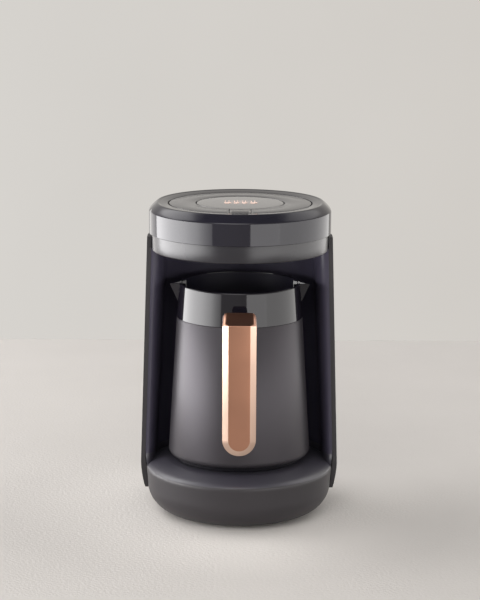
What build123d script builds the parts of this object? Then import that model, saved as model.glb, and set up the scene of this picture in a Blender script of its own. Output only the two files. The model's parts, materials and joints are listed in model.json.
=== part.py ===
"""Electric Turkish coffee maker: base, wrap-round column and round head over a lift-out pot.

Millimetres. +Z is up, the front is -Y, and the floor is z = 0. The origin lies on the pot's axis.
Seen from above, the casing is a half circle in front and a half circle behind, with a short straight
run of length STRETCH between them, so the column has room behind the pot.
Heights build up from the feet: base, deck, pot, head. Radii build up from the hot plate (base floor),
the bowl's belly (base and column), the pot's widest place and the head's upper band.
"""
import math
import os

from build123d import *

# ---------------------------------------------------------------- general
STRETCH = 8.0             # straight run between the front and rear half circles
WALL = 2.4                # moulded plastic wall
FIT = 0.15                # gap between fixed pieces that slip together
BOARD_T = 1.6             # circuit boards

# ---------------------------------------------------------------- screws
SCREW_R = 1.4
SCREW_PLAY = 0.02         # the shank is this much thinner than its pilot hole
SCREW_HEAD_R = 2.8
SCREW_HEAD_T = 1.8
SCREW_CROSS_HALF = 2.0
SCREW_CROSS_W = 0.8
SCREW_CROSS_DEPTH = 0.8
SCREW_GRIP = 8.0          # length of thread in its boss
SCREW_SEAT_PLAY = 0.4     # counterbores are this much wider than the heads
BOSS_R = 3.6

# ---------------------------------------------------------------- hot plate in the base
HOT_R = 33.0
HOT_PROUD = 0.3           # the plate stands this much above the deck
HOT_EDGE = 0.25
HOT_FLANGE_W = 3.0
HOT_FLANGE_R = HOT_R + HOT_FLANGE_W
HOT_FLANGE = 2.6
SEAL_W = 1.4
ELEMENT_INSET = 9.0
ELEMENT_R = HOT_R - ELEMENT_INSET
ELEMENT_TUBE_R = 3.2
ELEMENT_GAP = 0.05
ELEMENT_PIN_R = 2.0
ELEMENT_PIN_DROP = 4.0
ELEMENT_START = 105       # degrees
ELEMENT_ARC = 330         # degrees
BRACKET_T = 1.5
BRACKET_W = 13.0
BRACKET_ROUND = 0.7
BRACKET_CLEAR = 3.4       # bracket bosses stand this far out from the flange
BRACKET_BOSS_PITCH_R = HOT_FLANGE_R + BOSS_R + BRACKET_CLEAR
CUTOUT_R = 8.0
CUTOUT_TAB_HALF = 11.0
CUTOUT_TAB_HALF_W = 2.0
CUTOUT_TAB_T = 0.8
PROBE_R = 2.4
PROBE_GAP = 4.1           # between the cutout and the probe
PROBE_DROP = 3.0

# ---------------------------------------------------------------- base
FOOT_R = 6.5
FOOT_DROP = 1.2           # how far the feet stand below the bowl
FOOT_INSET = 3.0          # from the foot's edge to the bowl's opening
FOOT_STEM_R = 2.0
FOOT_STEM_PROUD = 1.5
FOOT_EDGE = 0.6
BOSS_CLEAR = 0.4          # deck bosses stand this far out from the hot plate's flange
BOTTOM_BOSS_PITCH_R = HOT_FLANGE_R + BOSS_R + BOSS_CLEAR
HEAD_TO_OPENING = 3.7     # from a bottom screw's head to the bowl's opening
BOWL_OPEN_R = BOTTOM_BOSS_PITCH_R + SCREW_HEAD_R + HEAD_TO_OPENING
FOOT_PITCH_R = BOWL_OPEN_R - FOOT_INSET - FOOT_R
PLATE_SEAT = 2.6          # width of the ledge that carries the bottom plate
PLATE_TO_CURVE = 0.9
BOWL_FLOOR_R = BOWL_OPEN_R + PLATE_SEAT + PLATE_TO_CURVE   # the bowl's curve starts here
BOWL_BELLY_R = 73.0
BOWL_FLOOR_Z = FOOT_DROP
BOWL_RISE = 21.8          # height of the bowl's rounded part
BOWL_BELLY_Z = BOWL_FLOOR_Z + BOWL_RISE
BOWL_FLARE = 1.2          # how much the side widens up to the shoulder
SHOULDER_R = BOWL_BELLY_R + BOWL_FLARE
BOWL_SIDE_H = 14.0
SHOULDER_Z = BOWL_BELLY_Z + BOWL_SIDE_H    # joint between the bowl and the deck
SHOULDER_ROUND = 1.6
DECK_SLOPE_W = 17.2       # width of the sloping rim round the flat deck
DECK_FLAT_R = SHOULDER_R - DECK_SLOPE_W
DECK_RISE = 6.5
DECK_Z = SHOULDER_Z + DECK_RISE
SKIRT_DEPTH = 6.0
SKIRT_LAP = 1.5           # how far the skirt reaches up into the deck
PLATE_TOP_Z = BOWL_FLOOR_Z + WALL * 2
BOTTOM_SCREW_REACH = 12.0
VENT_X = (12.0, 24.0)
VENT_HALF_W = 1.0
VENT_STEP = 15            # degrees
VENT_SPAN = 60            # degrees

# ---------------------------------------------------------------- power board in the base
POWER_BOARD_X = 62.0
POWER_BOARD_Y = 46.0
BOARD_CORNER = 4.0        # from the board's edges to its screws
BOARD_POST_R = 3.0
BOARD_POST_H = 7.0
POWER_BOARD_Z = PLATE_TOP_Z + BOARD_POST_H
BOARD_SCREW_REACH = 5.5
PART_INSET = 11.0         # from the board's side edges to the relay, the capacitor and the block
RELAY = (16.0, 12.0, 11.5)
RELAY_ROUND = 0.6
CAPACITOR = (16.0, 8.0, 10.0)
CAPACITOR_ROUND = 0.8
PART_GAP = 4.0            # from the board's middle line to the parts beside it
CORE = (20.0, 14.0, 3.0)  # each of the transformer's two plates
CORE_AT = (2.0, -15.0)
COIL_R = 5.5
COIL_H = 6.0
TERMINAL = (18.0, 10.0, 9.0)
TERMINAL_EDGE = 5.0       # from the block's rear face to the board's rear edge
TERMINAL_HOLE_R = 1.8
TERMINAL_HOLE_DEPTH = 3.0
TERMINAL_PITCH = 6.0

# ---------------------------------------------------------------- pot
POT_LIFT = 0.3            # the pot's foot over the hot plate
POT_BOTTOM_Z = DECK_Z + HOT_PROUD + POT_LIFT
POT_MAX_R = 56.2
POT_MAX_UP = 7.9          # heights over the pot's bottom
POT_EDGE_UP = 3.5
POT_BODY_UP = 114.2
POT_RIM_UP = 141.3
POT_MAX_Z = POT_BOTTOM_Z + POT_MAX_UP
POT_EDGE_IN = 3.0
POT_EDGE_R = POT_MAX_R - POT_EDGE_IN       # lower edge of the sleeve
POT_EDGE_Z = POT_BOTTOM_Z + POT_EDGE_UP
POT_CORNER = (0.9, 1.3)   # the round corner's middle, in from the widest place and up from the edge
POT_TAPER = 6.4
POT_SEAM_R = POT_MAX_R - POT_TAPER
POT_SEAM_Z = POT_BOTTOM_Z + POT_BODY_UP
COLLAR_TAPER = 1.9
POT_RIM_R = POT_SEAM_R - COLLAR_TAPER
POT_RIM_Z = POT_BOTTOM_Z + POT_RIM_UP
RIM_EDGE = (0.6, 0.8)     # the rim's outer bevel, in and down
SLEEVE_WALL = 1.6
VESSEL_WALL = 0.8
VESSEL_TOP_IN = 1.5       # the vessel's top is this much inside the rim's outer edge
VESSEL_TOP_R = POT_RIM_R - VESSEL_TOP_IN
VESSEL_DROP = 0.4         # the vessel's top is this much under the collar's
VESSEL_BOTTOM_IN = 6.2
VESSEL_BOTTOM_R = POT_MAX_R - VESSEL_BOTTOM_IN
VESSEL_CORNER = 5.0       # size of the vessel's round bottom corner
VESSEL_CORNER_MID = (1.4, 1.5)
POT_DISC_T = 4.0
POT_DISC_R = VESSEL_BOTTOM_R - VESSEL_CORNER
POT_DISC_EDGE = 0.5
POT_FOOT_IN = 2.6
POT_FOOT_R = POT_EDGE_R - POT_FOOT_IN
POT_FOOT_DROP = 0.3       # the foot stays this much above the disc's underside
FOOT_LIP_W = 1.8
FOOT_LIP_H = 3.0
SPOUT_REACH = 7.5
SPOUT_TIP_R = POT_RIM_R + SPOUT_REACH
SPOUT_HALF_W = 9.0
SPOUT_KEEL_H = 14.4       # from the rim down to where the keel leaves the collar
SPOUT_ROOT_IN = 4.0
SPOUT_WALL = 1.3
SPIGOT_H = 4.5
GASKET_H = 3.0
GASKET_DROP = 8.0         # from the seam down to the gasket's underside
GASKET_LAP = 2.0
GASKET_GAP = 0.1

# ---------------------------------------------------------------- head, heights
HEAD_ROOM = 26.4          # from the pot's rim up to the head
HEAD_LOW_Z = POT_RIM_Z + HEAD_ROOM
LOWER_RING_H = 13.7
BAND_SPLIT_Z = HEAD_LOW_Z + LOWER_RING_H   # joint line between the lower ring and the bezel
BAND_H = 18.3
BEZEL_EDGE_Z = BAND_SPLIT_Z + BAND_H
CREST_RISE = 5.5
CREST_Z = BEZEL_EDGE_Z + CREST_RISE
CREST_LIP = 0.6
BEZEL_TOP_Z = CREST_Z - CREST_LIP
BOARD_DEPTH = 15.7
HEAD_BOARD_Z = BEZEL_TOP_Z - BOARD_DEPTH

# ---------------------------------------------------------------- head, radii
BAND_R = 71.6             # upper band
BAND_STEP = 2.3
LOWER_RING_R = BAND_R - BAND_STEP
LEDGE_W = 2.2
HEAD_FLOOR_T = 2.0
BAND_EDGE = (0.7, 1.2)    # the bevel at the band's upper edge, in and down
BEZEL_SLOPE_W = 6.4
CREST_R = BAND_R - BEZEL_SLOPE_W
CREST_W = 1.0
CREST_INNER_W = 1.4
BEZEL_SPIGOT_W = 1.8
BEZEL_SPIGOT_H = 4.0
BEZEL_SPIGOT_LAP = 0.5
OPENING_GAP = 1.1
TOP_IN = 9.5              # from the crest to the top plate's edge
TOP_PLATE_R = CREST_R - TOP_IN
OPENING_R = TOP_PLATE_R + OPENING_GAP      # round opening in the bezel
TOP_PLATE_T = 2.6
TOP_FLANGE_T = 1.5
TOP_FLANGE_W = 3.4
POWER_DEPTH = 20.7
CUP_HOLE_R = TOP_PLATE_R - POWER_DEPTH
CUP_GAP = 0.8
CUP_DISC_R = CUP_HOLE_R - CUP_GAP
CUP_DISC_T = 2.4
CUP_DISC_DOME = 0.5
CUP_SKIRT_W = 1.6
CUP_SKIRT_IN = 1.0
CUP_SKIRT_H = 4.0
POWER_HALF_W = 8.1
POWER_GAP = 0.5
POWER_RIDGE_W = 0.8
POWER_RIDGE_IN = 1.5
POWER_RIDGE_BACK = 4.0
POWER_RIDGE_PROUD = 0.25
ROOT = 0.5                # how far a stem, post or pin reaches into what carries it
STEM_R = 3.0
PAD_H = 5.0
PAD_EDGE = 1.0
HEAD_BOARD_IN = 5.7
HEAD_BOARD_R = TOP_PLATE_R - HEAD_BOARD_IN
HEAD_POST_R = 3.4
HEAD_POST_IN = 4.0
HEAD_POST_PITCH_R = HEAD_BOARD_R - HEAD_POST_IN
HEAD_POST_FOOT_W = 1.6
HEAD_POST_FOOT_H = 6.0
HEAD_SEAT_DEPTH = 4.0
HEAD_SCREW_SHORT = 3.0    # the head's screws end this far under the top plate's flange
WINDOW_R = 6.0
WINDOW_GAP = 0.1
WINDOW_RECESS = 0.2
SENSOR = (18.0, 14.0, 7.0)
SENSOR_ROUND = 1.5
GUIDE_HALF_X = 17.0
GUIDE_Y = (-5.0, 11.0)
GUIDE_T = 3.5
GUIDE_ROUND = 3.0
LED_PITCH = 8.0
LED = (3.6, 3.6, 1.9)
LED_Y = 7.0
CHIP = (10.0, 10.0, 1.4)
CHIP_AT = (-21.0, 23.0)
BUZZER_R = 6.0
BUZZER_HOLE_R = 1.0
BUZZER_H = 5.5
BUZZER_PIN_R = 2.0
BUZZER_AT = (24.0, 24.0)

# ---------------------------------------------------------------- column
SHELL_WALL = 3.5
SHELL_TIP_WALL = 2.5
SHELL_CLEAR = 1.0         # between the bowl's shoulder and the shell
SHELL_TIP_CLEAR = 0.65    # between the bowl and the shell's lower tip
SHELL_RING_GAP = 0.3      # between the head's lower ring and the shell
SHELL_TOP_DROP = 2.5      # the shell ends this far under the band's joint line
SHELL_TOP_Z = BAND_SPLIT_Z - SHELL_TOP_DROP
SHELL_TOP_R = LOWER_RING_R + SHELL_RING_GAP + SHELL_WALL
SHELL_KNEE_UP = 1.0
SHELL_KNEE_Z = SHOULDER_Z + SHELL_KNEE_UP
SHELL_MAX_R = SHOULDER_R + SHELL_CLEAR + SHELL_WALL   # widest place, at the knee
SHELL_TIP_DROP = 5.5
SHELL_TIP_Z = BOWL_BELLY_Z - SHELL_TIP_DROP
SHELL_TIP_BULGE = 0.62    # share of the knee's width that is left halfway down the tip
SHELL_TIP_MID_DROP = 1.0
NICHE_TOP_IN = 6.5
NICHE_BOTTOM_IN = 3.2
NICHE_TOP_R = LOWER_RING_R - NICHE_TOP_IN  # concave wall behind the pot
NICHE_BOTTOM_R = SHOULDER_R - NICHE_BOTTOM_IN
LINER_WALL = 2.0
CHEEK_T = 2.6             # thickness of the liner's forward-facing edge strips
SHELL_SCREW_X = 26.0
SHELL_SCREW_UP = 35.0     # lower screws over the shoulder
SHELL_SCREW_DOWN = 25.8   # upper screws under the head
SHELL_SCREW_ZS = (SHOULDER_Z + SHELL_SCREW_UP, HEAD_LOW_Z - SHELL_SCREW_DOWN)
SHELL_SEAT_T = 1.4        # wall left under a shell screw's head
GLAND_UP = 4.0
GLAND_Z = BOWL_BELLY_Z + GLAND_UP
GLAND_BORE_R = 3.6
GLAND_WALL = 2.8
GLAND_BODY_R = GLAND_BORE_R + GLAND_WALL
GLAND_RIM = 2.6
GLAND_FLANGE_R = GLAND_BODY_R + GLAND_RIM
GLAND_FLANGE_T = 1.8
GLAND_NUT_T = 3.0
GLAND_REACH = 5.0         # how far the gland reaches into the bowl
HARNESS_R = 2.2
HARNESS_X = 14.0
HARNESS_GAP = 1.4         # between the niche wall and the harness at the head
HARNESS_HOLE_R = 4.0
HARNESS_RUN = 20.0        # from the bend under the deck forward to the flat run
HARNESS_BEND = 2.5        # bend radius over the harness's own radius

# ---------------------------------------------------------------- handle
HANDLE_HALF_W = 12.9
HANDLE_BEVEL_W = 5.15
HANDLE_FACET_HALF_W = HANDLE_HALF_W - HANDLE_BEVEL_W
HANDLE_BEVEL = 3.0
HANDLE_T = 12.0
HANDLE_BOTTOM_UP = 22.1   # over the pot's bottom
HANDLE_TOP_DOWN = 17.2    # under the pot's rim
HANDLE_BOTTOM_Z = POT_BOTTOM_Z + HANDLE_BOTTOM_UP
HANDLE_FRONT_TOP_Z = POT_RIM_Z - HANDLE_TOP_DOWN
HANDLE_TOP_RISE = 6.7     # the top face climbs this much towards the pot
HANDLE_SKIN = 1.3
HANDLE_SKIN_GAP = 0.05
FACET_INSET = 0.45        # the facet moves in by this share of the skin
ARM_IN = 4.9
ARM_HALF_W = HANDLE_HALF_W - ARM_IN
ARM_ROUND = 2.5
TOP_ARM_H = 13.0
TOP_ARM_DOWN = 18.2
LOW_ARM_H = 11.0
LOW_ARM_UP = 15.8
TOP_ARM_Z = (HANDLE_FRONT_TOP_Z - TOP_ARM_DOWN - TOP_ARM_H, HANDLE_FRONT_TOP_Z - TOP_ARM_DOWN)
LOW_ARM_Z = (HANDLE_BOTTOM_Z + LOW_ARM_UP, HANDLE_BOTTOM_Z + LOW_ARM_UP + LOW_ARM_H)
ARM_MID_ZS = ((TOP_ARM_Z[0] + TOP_ARM_Z[1]) / 2, (LOW_ARM_Z[0] + LOW_ARM_Z[1]) / 2)
FLAT_HEAD_T = 0.9         # flat heads of the handle's screws, in the gap round the vessel
FLAT_HEAD_GAP = 0.35
HANDLE_SCREW_REACH = 12.0

SHELL_REAR_Y = SHELL_MAX_R + STRETCH
HANDLE_FRONT_Y = -(SHELL_REAR_Y + GLAND_FLANGE_T)   # the footprint's middle is at the origin

BOTTOM_ANGLES = (0, 90, 180, 270)
FOOT_ANGLES = (45, 135, 225, 315)
BRACKET_ANGLES = (45, 225)
HEAD_ANGLES = (35, 145, 215, 325)
PAST = 1.0                # cutters reach this far past what they cut
FAR = 5.0


# ================================================================ helpers
def flat_face(points):
    """A face in the XZ plane from (radius, z) points."""
    return make_face(Polyline(*[(r, 0, z) for r, z in points], close=True))


def turned(face):
    """The face turned all the way round the pot's axis."""
    return revolve(face, axis=Axis.Z, revolution_arc=360)


def turned_points(points):
    return turned(flat_face(points))


def cyl(radius, z0, z1, x=0.0, y=0.0):
    """An upright cylinder from z0 to z1."""
    return Pos(x, y, z0) * Cylinder(radius, z1 - z0, align=(Align.CENTER, Align.CENTER, Align.MIN))


def tube(outer, inner, z0, z1, x=0.0, y=0.0):
    return cyl(outer, z0, z1, x, y) - cyl(inner, z0 - PAST, z1 + PAST, x, y)


def block(x0, x1, y0, y1, z0, z1):
    return Pos((x0 + x1) / 2, (y0 + y1) / 2, (z0 + z1) / 2) * Box(x1 - x0, y1 - y0, z1 - z0)


def standing(size, x0, y0, z0):
    """A block of that size with its lowest corner at x0, y0, z0."""
    return block(x0, x0 + size[0], y0, y0 + size[1], z0, z0 + size[2])


def cyl_y(radius, y0, y1, x, z):
    """A cylinder lying along Y, from y0 back to y1."""
    upright = Cylinder(radius, y1 - y0, align=(Align.CENTER, Align.CENTER, Align.MIN))
    return Pos(x, y0, z) * (Rot(-90, 0, 0) * upright)


def rear_part(face):
    """The casing's part behind y = 0: two straight runs and the rear half circle."""
    right = extrude(face, amount=STRETCH, dir=(0, 1, 0))
    left = mirror(right, about=Plane.YZ)
    back = Pos(0, STRETCH, 0) * revolve(face, axis=Axis.Z, revolution_arc=180)
    return right + left + back


def front_part(face):
    """The casing's part before y = 0: the front half circle."""
    return mirror(revolve(face, axis=Axis.Z, revolution_arc=180), about=Plane.XZ)


def stretched(face):
    """A section (radius against z) carried round the whole casing."""
    return front_part(face) + rear_part(face)


def plan_disc(radius, z0, z1):
    """A flat plate with the casing's outline."""
    return stretched(flat_face([(0, z0), (radius, z0), (radius, z1), (0, z1)]))


def ring_spots(radius, angles):
    return [(radius * math.cos(math.radians(a)), radius * math.sin(math.radians(a))) for a in angles]


def crossed(x0, x1, t):
    """The value that lies the share t of the way from x0 to x1."""
    return x0 + (x1 - x0) * t


def screw_up(x, y, z_head, z_end):
    """A cross-head screw whose head is below and whose shank points up."""
    low = z_head - SCREW_HEAD_T
    half, w = SCREW_CROSS_HALF, SCREW_CROSS_W / 2
    head = cyl(SCREW_HEAD_R, low, z_head, x, y)
    head -= block(x - half, x + half, y - w, y + w, low - PAST, low + SCREW_CROSS_DEPTH)
    head -= block(x - w, x + w, y - half, y + half, low - PAST, low + SCREW_CROSS_DEPTH)
    return head + cyl(SCREW_R - SCREW_PLAY, z_head - ROOT, z_end, x, y)


def screw_forward(x, z, seat):
    """A cross-head screw driven in from behind, its head against y = seat."""
    top = seat + SCREW_HEAD_T
    half, w = SCREW_CROSS_HALF, SCREW_CROSS_W / 2
    head = cyl_y(SCREW_HEAD_R, seat, top, x, z)
    head -= block(x - half, x + half, top - SCREW_CROSS_DEPTH, top + PAST, z - w, z + w)
    head -= block(x - w, x + w, top - SCREW_CROSS_DEPTH, top + PAST, z - half, z + half)
    return head + cyl_y(SCREW_R - SCREW_PLAY, seat - SCREW_GRIP, seat + ROOT, x, z)


# ================================================================ shared shapes
def bowl_section(inset):
    """The bowl's half section, moved in by inset: flat bottom, quarter ellipse, straight side."""
    floor_z = BOWL_FLOOR_Z + inset
    height = BOWL_BELLY_Z - floor_z
    width = BOWL_BELLY_R - BOWL_FLOOR_R - inset
    curve = EllipticalCenterArc((BOWL_FLOOR_R, BOWL_BELLY_Z), width, height, start_angle=270, arc_size=90)
    side = Line(curve @ 1, (SHOULDER_R - inset, SHOULDER_Z))
    top = Polyline(side @ 1, (0, SHOULDER_Z), (0, floor_z), curve @ 0)
    return Plane.XZ * make_face(curve + side + top)


def bowl_curve_r(z):
    """The bowl's outside radius on its rounded part."""
    t = (BOWL_BELLY_Z - z) / BOWL_RISE
    return BOWL_FLOOR_R + (BOWL_BELLY_R - BOWL_FLOOR_R) * math.sqrt(1 - t * t)


def bowl_side_inner_r():
    """Radius of the bowl's inside at the foot of the deck's skirt."""
    t = (BOWL_SIDE_H - SKIRT_DEPTH) / BOWL_SIDE_H
    return crossed(BOWL_BELLY_R, SHOULDER_R, t) - WALL


def deck_section(drop):
    """The deck's half section down to the shoulder, with its surface lowered by drop."""
    z = DECK_Z - drop
    rim = SHOULDER_R - drop
    crown = Line((0, z), (DECK_FLAT_R, z))
    slope = Line(crown @ 1, (rim - SHOULDER_ROUND, SHOULDER_Z + SHOULDER_ROUND - drop / 2))
    edge = Line(slope @ 1, (rim, SHOULDER_Z))
    under = Polyline(edge @ 1, (0, SHOULDER_Z), (0, z))
    return Plane.XZ * make_face(crown + slope + edge + under)


def shell_side(top_r, knee_r, tip_r):
    """The shell's side line: a cone down to the knee, then an arc in to the tip."""
    line = Line((top_r, SHELL_TOP_Z), (knee_r, SHELL_KNEE_Z))
    middle = (crossed(tip_r, knee_r, SHELL_TIP_BULGE), (SHELL_KNEE_Z + SHELL_TIP_Z) / 2 - SHELL_TIP_MID_DROP)
    return line, ThreePointArc(line @ 1, middle, (tip_r, SHELL_TIP_Z))


def shell_inner_side():
    return shell_side(SHELL_TOP_R - SHELL_WALL, SHELL_MAX_R - SHELL_WALL,
                      bowl_curve_r(SHELL_TIP_Z) + SHELL_TIP_CLEAR)


def shell_room_section():
    """Everything inside the column shell's wall."""
    line, arc = shell_inner_side()
    rest = Polyline(arc @ 1, (0, SHELL_TIP_Z), (0, SHELL_TOP_Z), line @ 0)
    return Plane.XZ * make_face(line + arc + rest)


def shell_section():
    """The column shell's wall."""
    inner_line, inner_arc = shell_inner_side()
    tip_r = bowl_curve_r(SHELL_TIP_Z) + SHELL_TIP_CLEAR + SHELL_TIP_WALL
    outer_line, outer_arc = shell_side(SHELL_TOP_R, SHELL_MAX_R, tip_r)
    top = Line(inner_line @ 0, outer_line @ 0)
    tip = Line(inner_arc @ 1, outer_arc @ 1)
    return Plane.XZ * make_face(inner_line + inner_arc + tip + outer_arc + outer_line + top)


def niche_r(z):
    """Radius of the niche wall at height z."""
    return crossed(NICHE_BOTTOM_R, NICHE_TOP_R, (z - DECK_Z) / (HEAD_LOW_Z - DECK_Z))


def shell_inner_r(z):
    """Radius of the shell's inside above its knee."""
    t = (z - SHELL_KNEE_Z) / (SHELL_TOP_Z - SHELL_KNEE_Z)
    return crossed(SHELL_MAX_R, SHELL_TOP_R, t) - SHELL_WALL


def sleeve_r(z):
    """Outside radius of the pot's sleeve at height z."""
    return crossed(POT_MAX_R, POT_SEAM_R, (z - POT_MAX_Z) / (POT_SEAM_Z - POT_MAX_Z))


# ================================================================ base
def gland_hole():
    """The way through the bowl and the shell for the cord gland."""
    return cyl_y(GLAND_BODY_R + FIT, STRETCH + BOWL_FLOOR_R, SHELL_REAR_Y + FAR, 0, GLAND_Z)


def base_tub():
    tub = stretched(bowl_section(0)) - stretched(bowl_section(WALL))
    return tub - cyl(BOWL_OPEN_R, 0, BOWL_FLOOR_Z + WALL + PAST) - gland_hole()


def bottom_plate():
    plate = cyl(BOWL_OPEN_R + PLATE_SEAT, BOWL_FLOOR_Z + WALL, PLATE_TOP_Z)
    for x, y in ring_spots(BOTTOM_BOSS_PITCH_R, BOTTOM_ANGLES):
        plate -= cyl(SCREW_R + FIT, 0, PLATE_TOP_Z + PAST, x, y)
    for x, y in ring_spots(FOOT_PITCH_R, FOOT_ANGLES):
        plate -= cyl(FOOT_STEM_R + FIT, 0, PLATE_TOP_Z + PAST, x, y)
    for x, y in board_corners():
        plate += tube(BOARD_POST_R, SCREW_R, PLATE_TOP_Z, POWER_BOARD_Z, x, y)
    for angle in range(-VENT_SPAN, VENT_SPAN + 1, VENT_STEP):
        plate -= Rot(0, 0, angle) * block(*VENT_X, -VENT_HALF_W, VENT_HALF_W, 0, PLATE_TOP_Z + PAST)
    return plate


def rubber_feet():
    feet = []
    for x, y in ring_spots(FOOT_PITCH_R, FOOT_ANGLES):
        pad = cyl(FOOT_R, 0, BOWL_FLOOR_Z + WALL, x, y)
        pad = chamfer(pad.edges().group_by(Axis.Z)[0], FOOT_EDGE)
        feet.append(pad + cyl(FOOT_STEM_R, FOOT_EDGE, PLATE_TOP_Z + FOOT_STEM_PROUD, x, y))
    return Compound(feet)


def bottom_screws():
    spots = ring_spots(BOTTOM_BOSS_PITCH_R, BOTTOM_ANGLES)
    return Compound([screw_up(x, y, BOWL_FLOOR_Z + WALL, PLATE_TOP_Z + BOTTOM_SCREW_REACH) for x, y in spots])


def harness_hole():
    """Where the harness rises through the deck behind the niche."""
    return cyl(HARNESS_HOLE_R, SHOULDER_Z - SKIRT_DEPTH - PAST, DECK_Z + PAST, HARNESS_X, harness_low_y())


def base_deck():
    deck = stretched(deck_section(0)) - stretched(deck_section(WALL))
    skirt_out = bowl_side_inner_r() - FIT
    low, high = SHOULDER_Z - SKIRT_DEPTH, SHOULDER_Z + SKIRT_LAP
    skirt = [(skirt_out - WALL, low), (skirt_out, low), (skirt_out, high), (skirt_out - WALL, high)]
    room = GLAND_FLANGE_R + PAST
    deck += stretched(flat_face(skirt)) - block(-room, room, BOWL_FLOOR_R, SHELL_REAR_Y, 0, GLAND_Z + room)
    under = DECK_Z - WALL
    for x, y in ring_spots(BOTTOM_BOSS_PITCH_R, BOTTOM_ANGLES):
        deck += cyl(BOSS_R, PLATE_TOP_Z, under + ROOT, x, y)
        deck -= cyl(SCREW_R, PLATE_TOP_Z - PAST, PLATE_TOP_Z + BOTTOM_SCREW_REACH + PAST, x, y)
    for x, y in ring_spots(BRACKET_BOSS_PITCH_R, BRACKET_ANGLES):
        deck += cyl(BOSS_R, bracket_top_z(), under + ROOT, x, y)
        deck -= cyl(SCREW_R, bracket_top_z() - PAST, bracket_top_z() + SCREW_GRIP - PAST, x, y)
    deck -= cyl(HOT_R + SEAL_W + FIT, 0, DECK_Z + PAST)
    return deck - harness_hole()


# ================================================================ hot plate
def hot_under_z():
    return DECK_Z - WALL - HOT_FLANGE


def bracket_top_z():
    return hot_under_z() - 2 * ELEMENT_TUBE_R


def hot_plate():
    plate = cyl(HOT_R, hot_under_z(), DECK_Z + HOT_PROUD) + cyl(HOT_FLANGE_R, hot_under_z(), DECK_Z - WALL)
    return chamfer(plate.edges().group_by(Axis.Z)[-1], HOT_EDGE)


def hot_plate_seal():
    return tube(HOT_R + SEAL_W, HOT_R, DECK_Z - WALL, DECK_Z)


def heating_element():
    mid_z = bracket_top_z() + ELEMENT_TUBE_R
    radius = ELEMENT_TUBE_R - ELEMENT_GAP
    section = Pos(ELEMENT_R, 0, mid_z) * (Plane.XZ * Circle(radius))
    ring = Rot(0, 0, ELEMENT_START) * revolve(section, axis=Axis.Z, revolution_arc=ELEMENT_ARC)
    for x, y in ring_spots(ELEMENT_R, (ELEMENT_START, ELEMENT_START + ELEMENT_ARC)):
        ring += Pos(x, y, mid_z) * Sphere(radius)
        ring += cyl(ELEMENT_PIN_R, bracket_top_z() - ELEMENT_PIN_DROP, mid_z, x, y)
    return ring


def heater_bracket():
    reach = BRACKET_BOSS_PITCH_R + BOSS_R
    bar = block(-reach, reach, -BRACKET_W / 2, BRACKET_W / 2, bracket_top_z() - BRACKET_T, bracket_top_z())
    for x in (-BRACKET_BOSS_PITCH_R, BRACKET_BOSS_PITCH_R):
        bar -= cyl(SCREW_R + FIT, 0, bracket_top_z() + PAST, x, 0)
    bar = fillet(bar.edges().filter_by(Axis.Z).group_by(SortBy.LENGTH)[0], BRACKET_ROUND)
    return Rot(0, 0, BRACKET_ANGLES[0]) * bar


def bracket_screws():
    spots = ring_spots(BRACKET_BOSS_PITCH_R, BRACKET_ANGLES)
    head_z = bracket_top_z() - BRACKET_T
    return Compound([screw_up(x, y, head_z, head_z + SCREW_GRIP - ROOT) for x, y in spots])


def thermal_cutout():
    can = cyl(CUTOUT_R, bracket_top_z(), hot_under_z())
    low = bracket_top_z() + CUTOUT_TAB_T
    reach, half = CUTOUT_TAB_HALF, CUTOUT_TAB_HALF_W
    tabs = block(-reach, reach, -half, half, low, low + CUTOUT_TAB_T)
    return Rot(0, 0, BRACKET_ANGLES[0] + 90) * (can + tabs)


def temperature_probe():
    x, y = ring_spots(CUTOUT_R + PROBE_GAP + PROBE_R, [BRACKET_ANGLES[0] + 90])[0]
    return cyl(PROBE_R, bracket_top_z() - PROBE_DROP, hot_under_z(), x, y)


# ================================================================ power board
def board_corners():
    dx = POWER_BOARD_X / 2 - BOARD_CORNER
    dy = POWER_BOARD_Y / 2 - BOARD_CORNER
    return [(sx * dx, sy * dy) for sx in (-1, 1) for sy in (-1, 1)]


def board_top_z():
    return POWER_BOARD_Z + BOARD_T


def power_board():
    half_x, half_y = POWER_BOARD_X / 2, POWER_BOARD_Y / 2
    board = block(-half_x, half_x, -half_y, half_y, POWER_BOARD_Z, board_top_z())
    for x, y in board_corners():
        board -= cyl(SCREW_R + FIT, 0, board_top_z() + PAST, x, y)
    return board


def board_screws():
    screws = []
    for x, y in board_corners():
        head = cyl(SCREW_HEAD_R, board_top_z(), board_top_z() + SCREW_HEAD_T, x, y)
        low = POWER_BOARD_Z - BOARD_SCREW_REACH
        screws.append(head + cyl(SCREW_R - SCREW_PLAY, low, board_top_z() + ROOT, x, y))
    return Compound(screws)


def part_left_x():
    return PART_INSET - POWER_BOARD_X / 2


def heater_relay():
    body = standing(RELAY, part_left_x(), -PART_GAP - RELAY[1], board_top_z())
    return fillet(body.edges().filter_by(Axis.Z), RELAY_ROUND)


def transformer():
    z = board_top_z()
    x, y = CORE_AT
    coil_z = z + CORE[2]
    core = standing(CORE, x, y, z) + standing(CORE, x, y, coil_z + COIL_H)
    return core + cyl(COIL_R, coil_z, coil_z + COIL_H, x + CORE[0] / 2, y + CORE[1] / 2)


def filter_capacitor():
    return fillet(standing(CAPACITOR, part_left_x(), PART_GAP, board_top_z()).edges(), CAPACITOR_ROUND)


def terminal_rear_y():
    """The terminal block's rear face, where the harness starts."""
    return POWER_BOARD_Y / 2 - TERMINAL_EDGE


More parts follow.
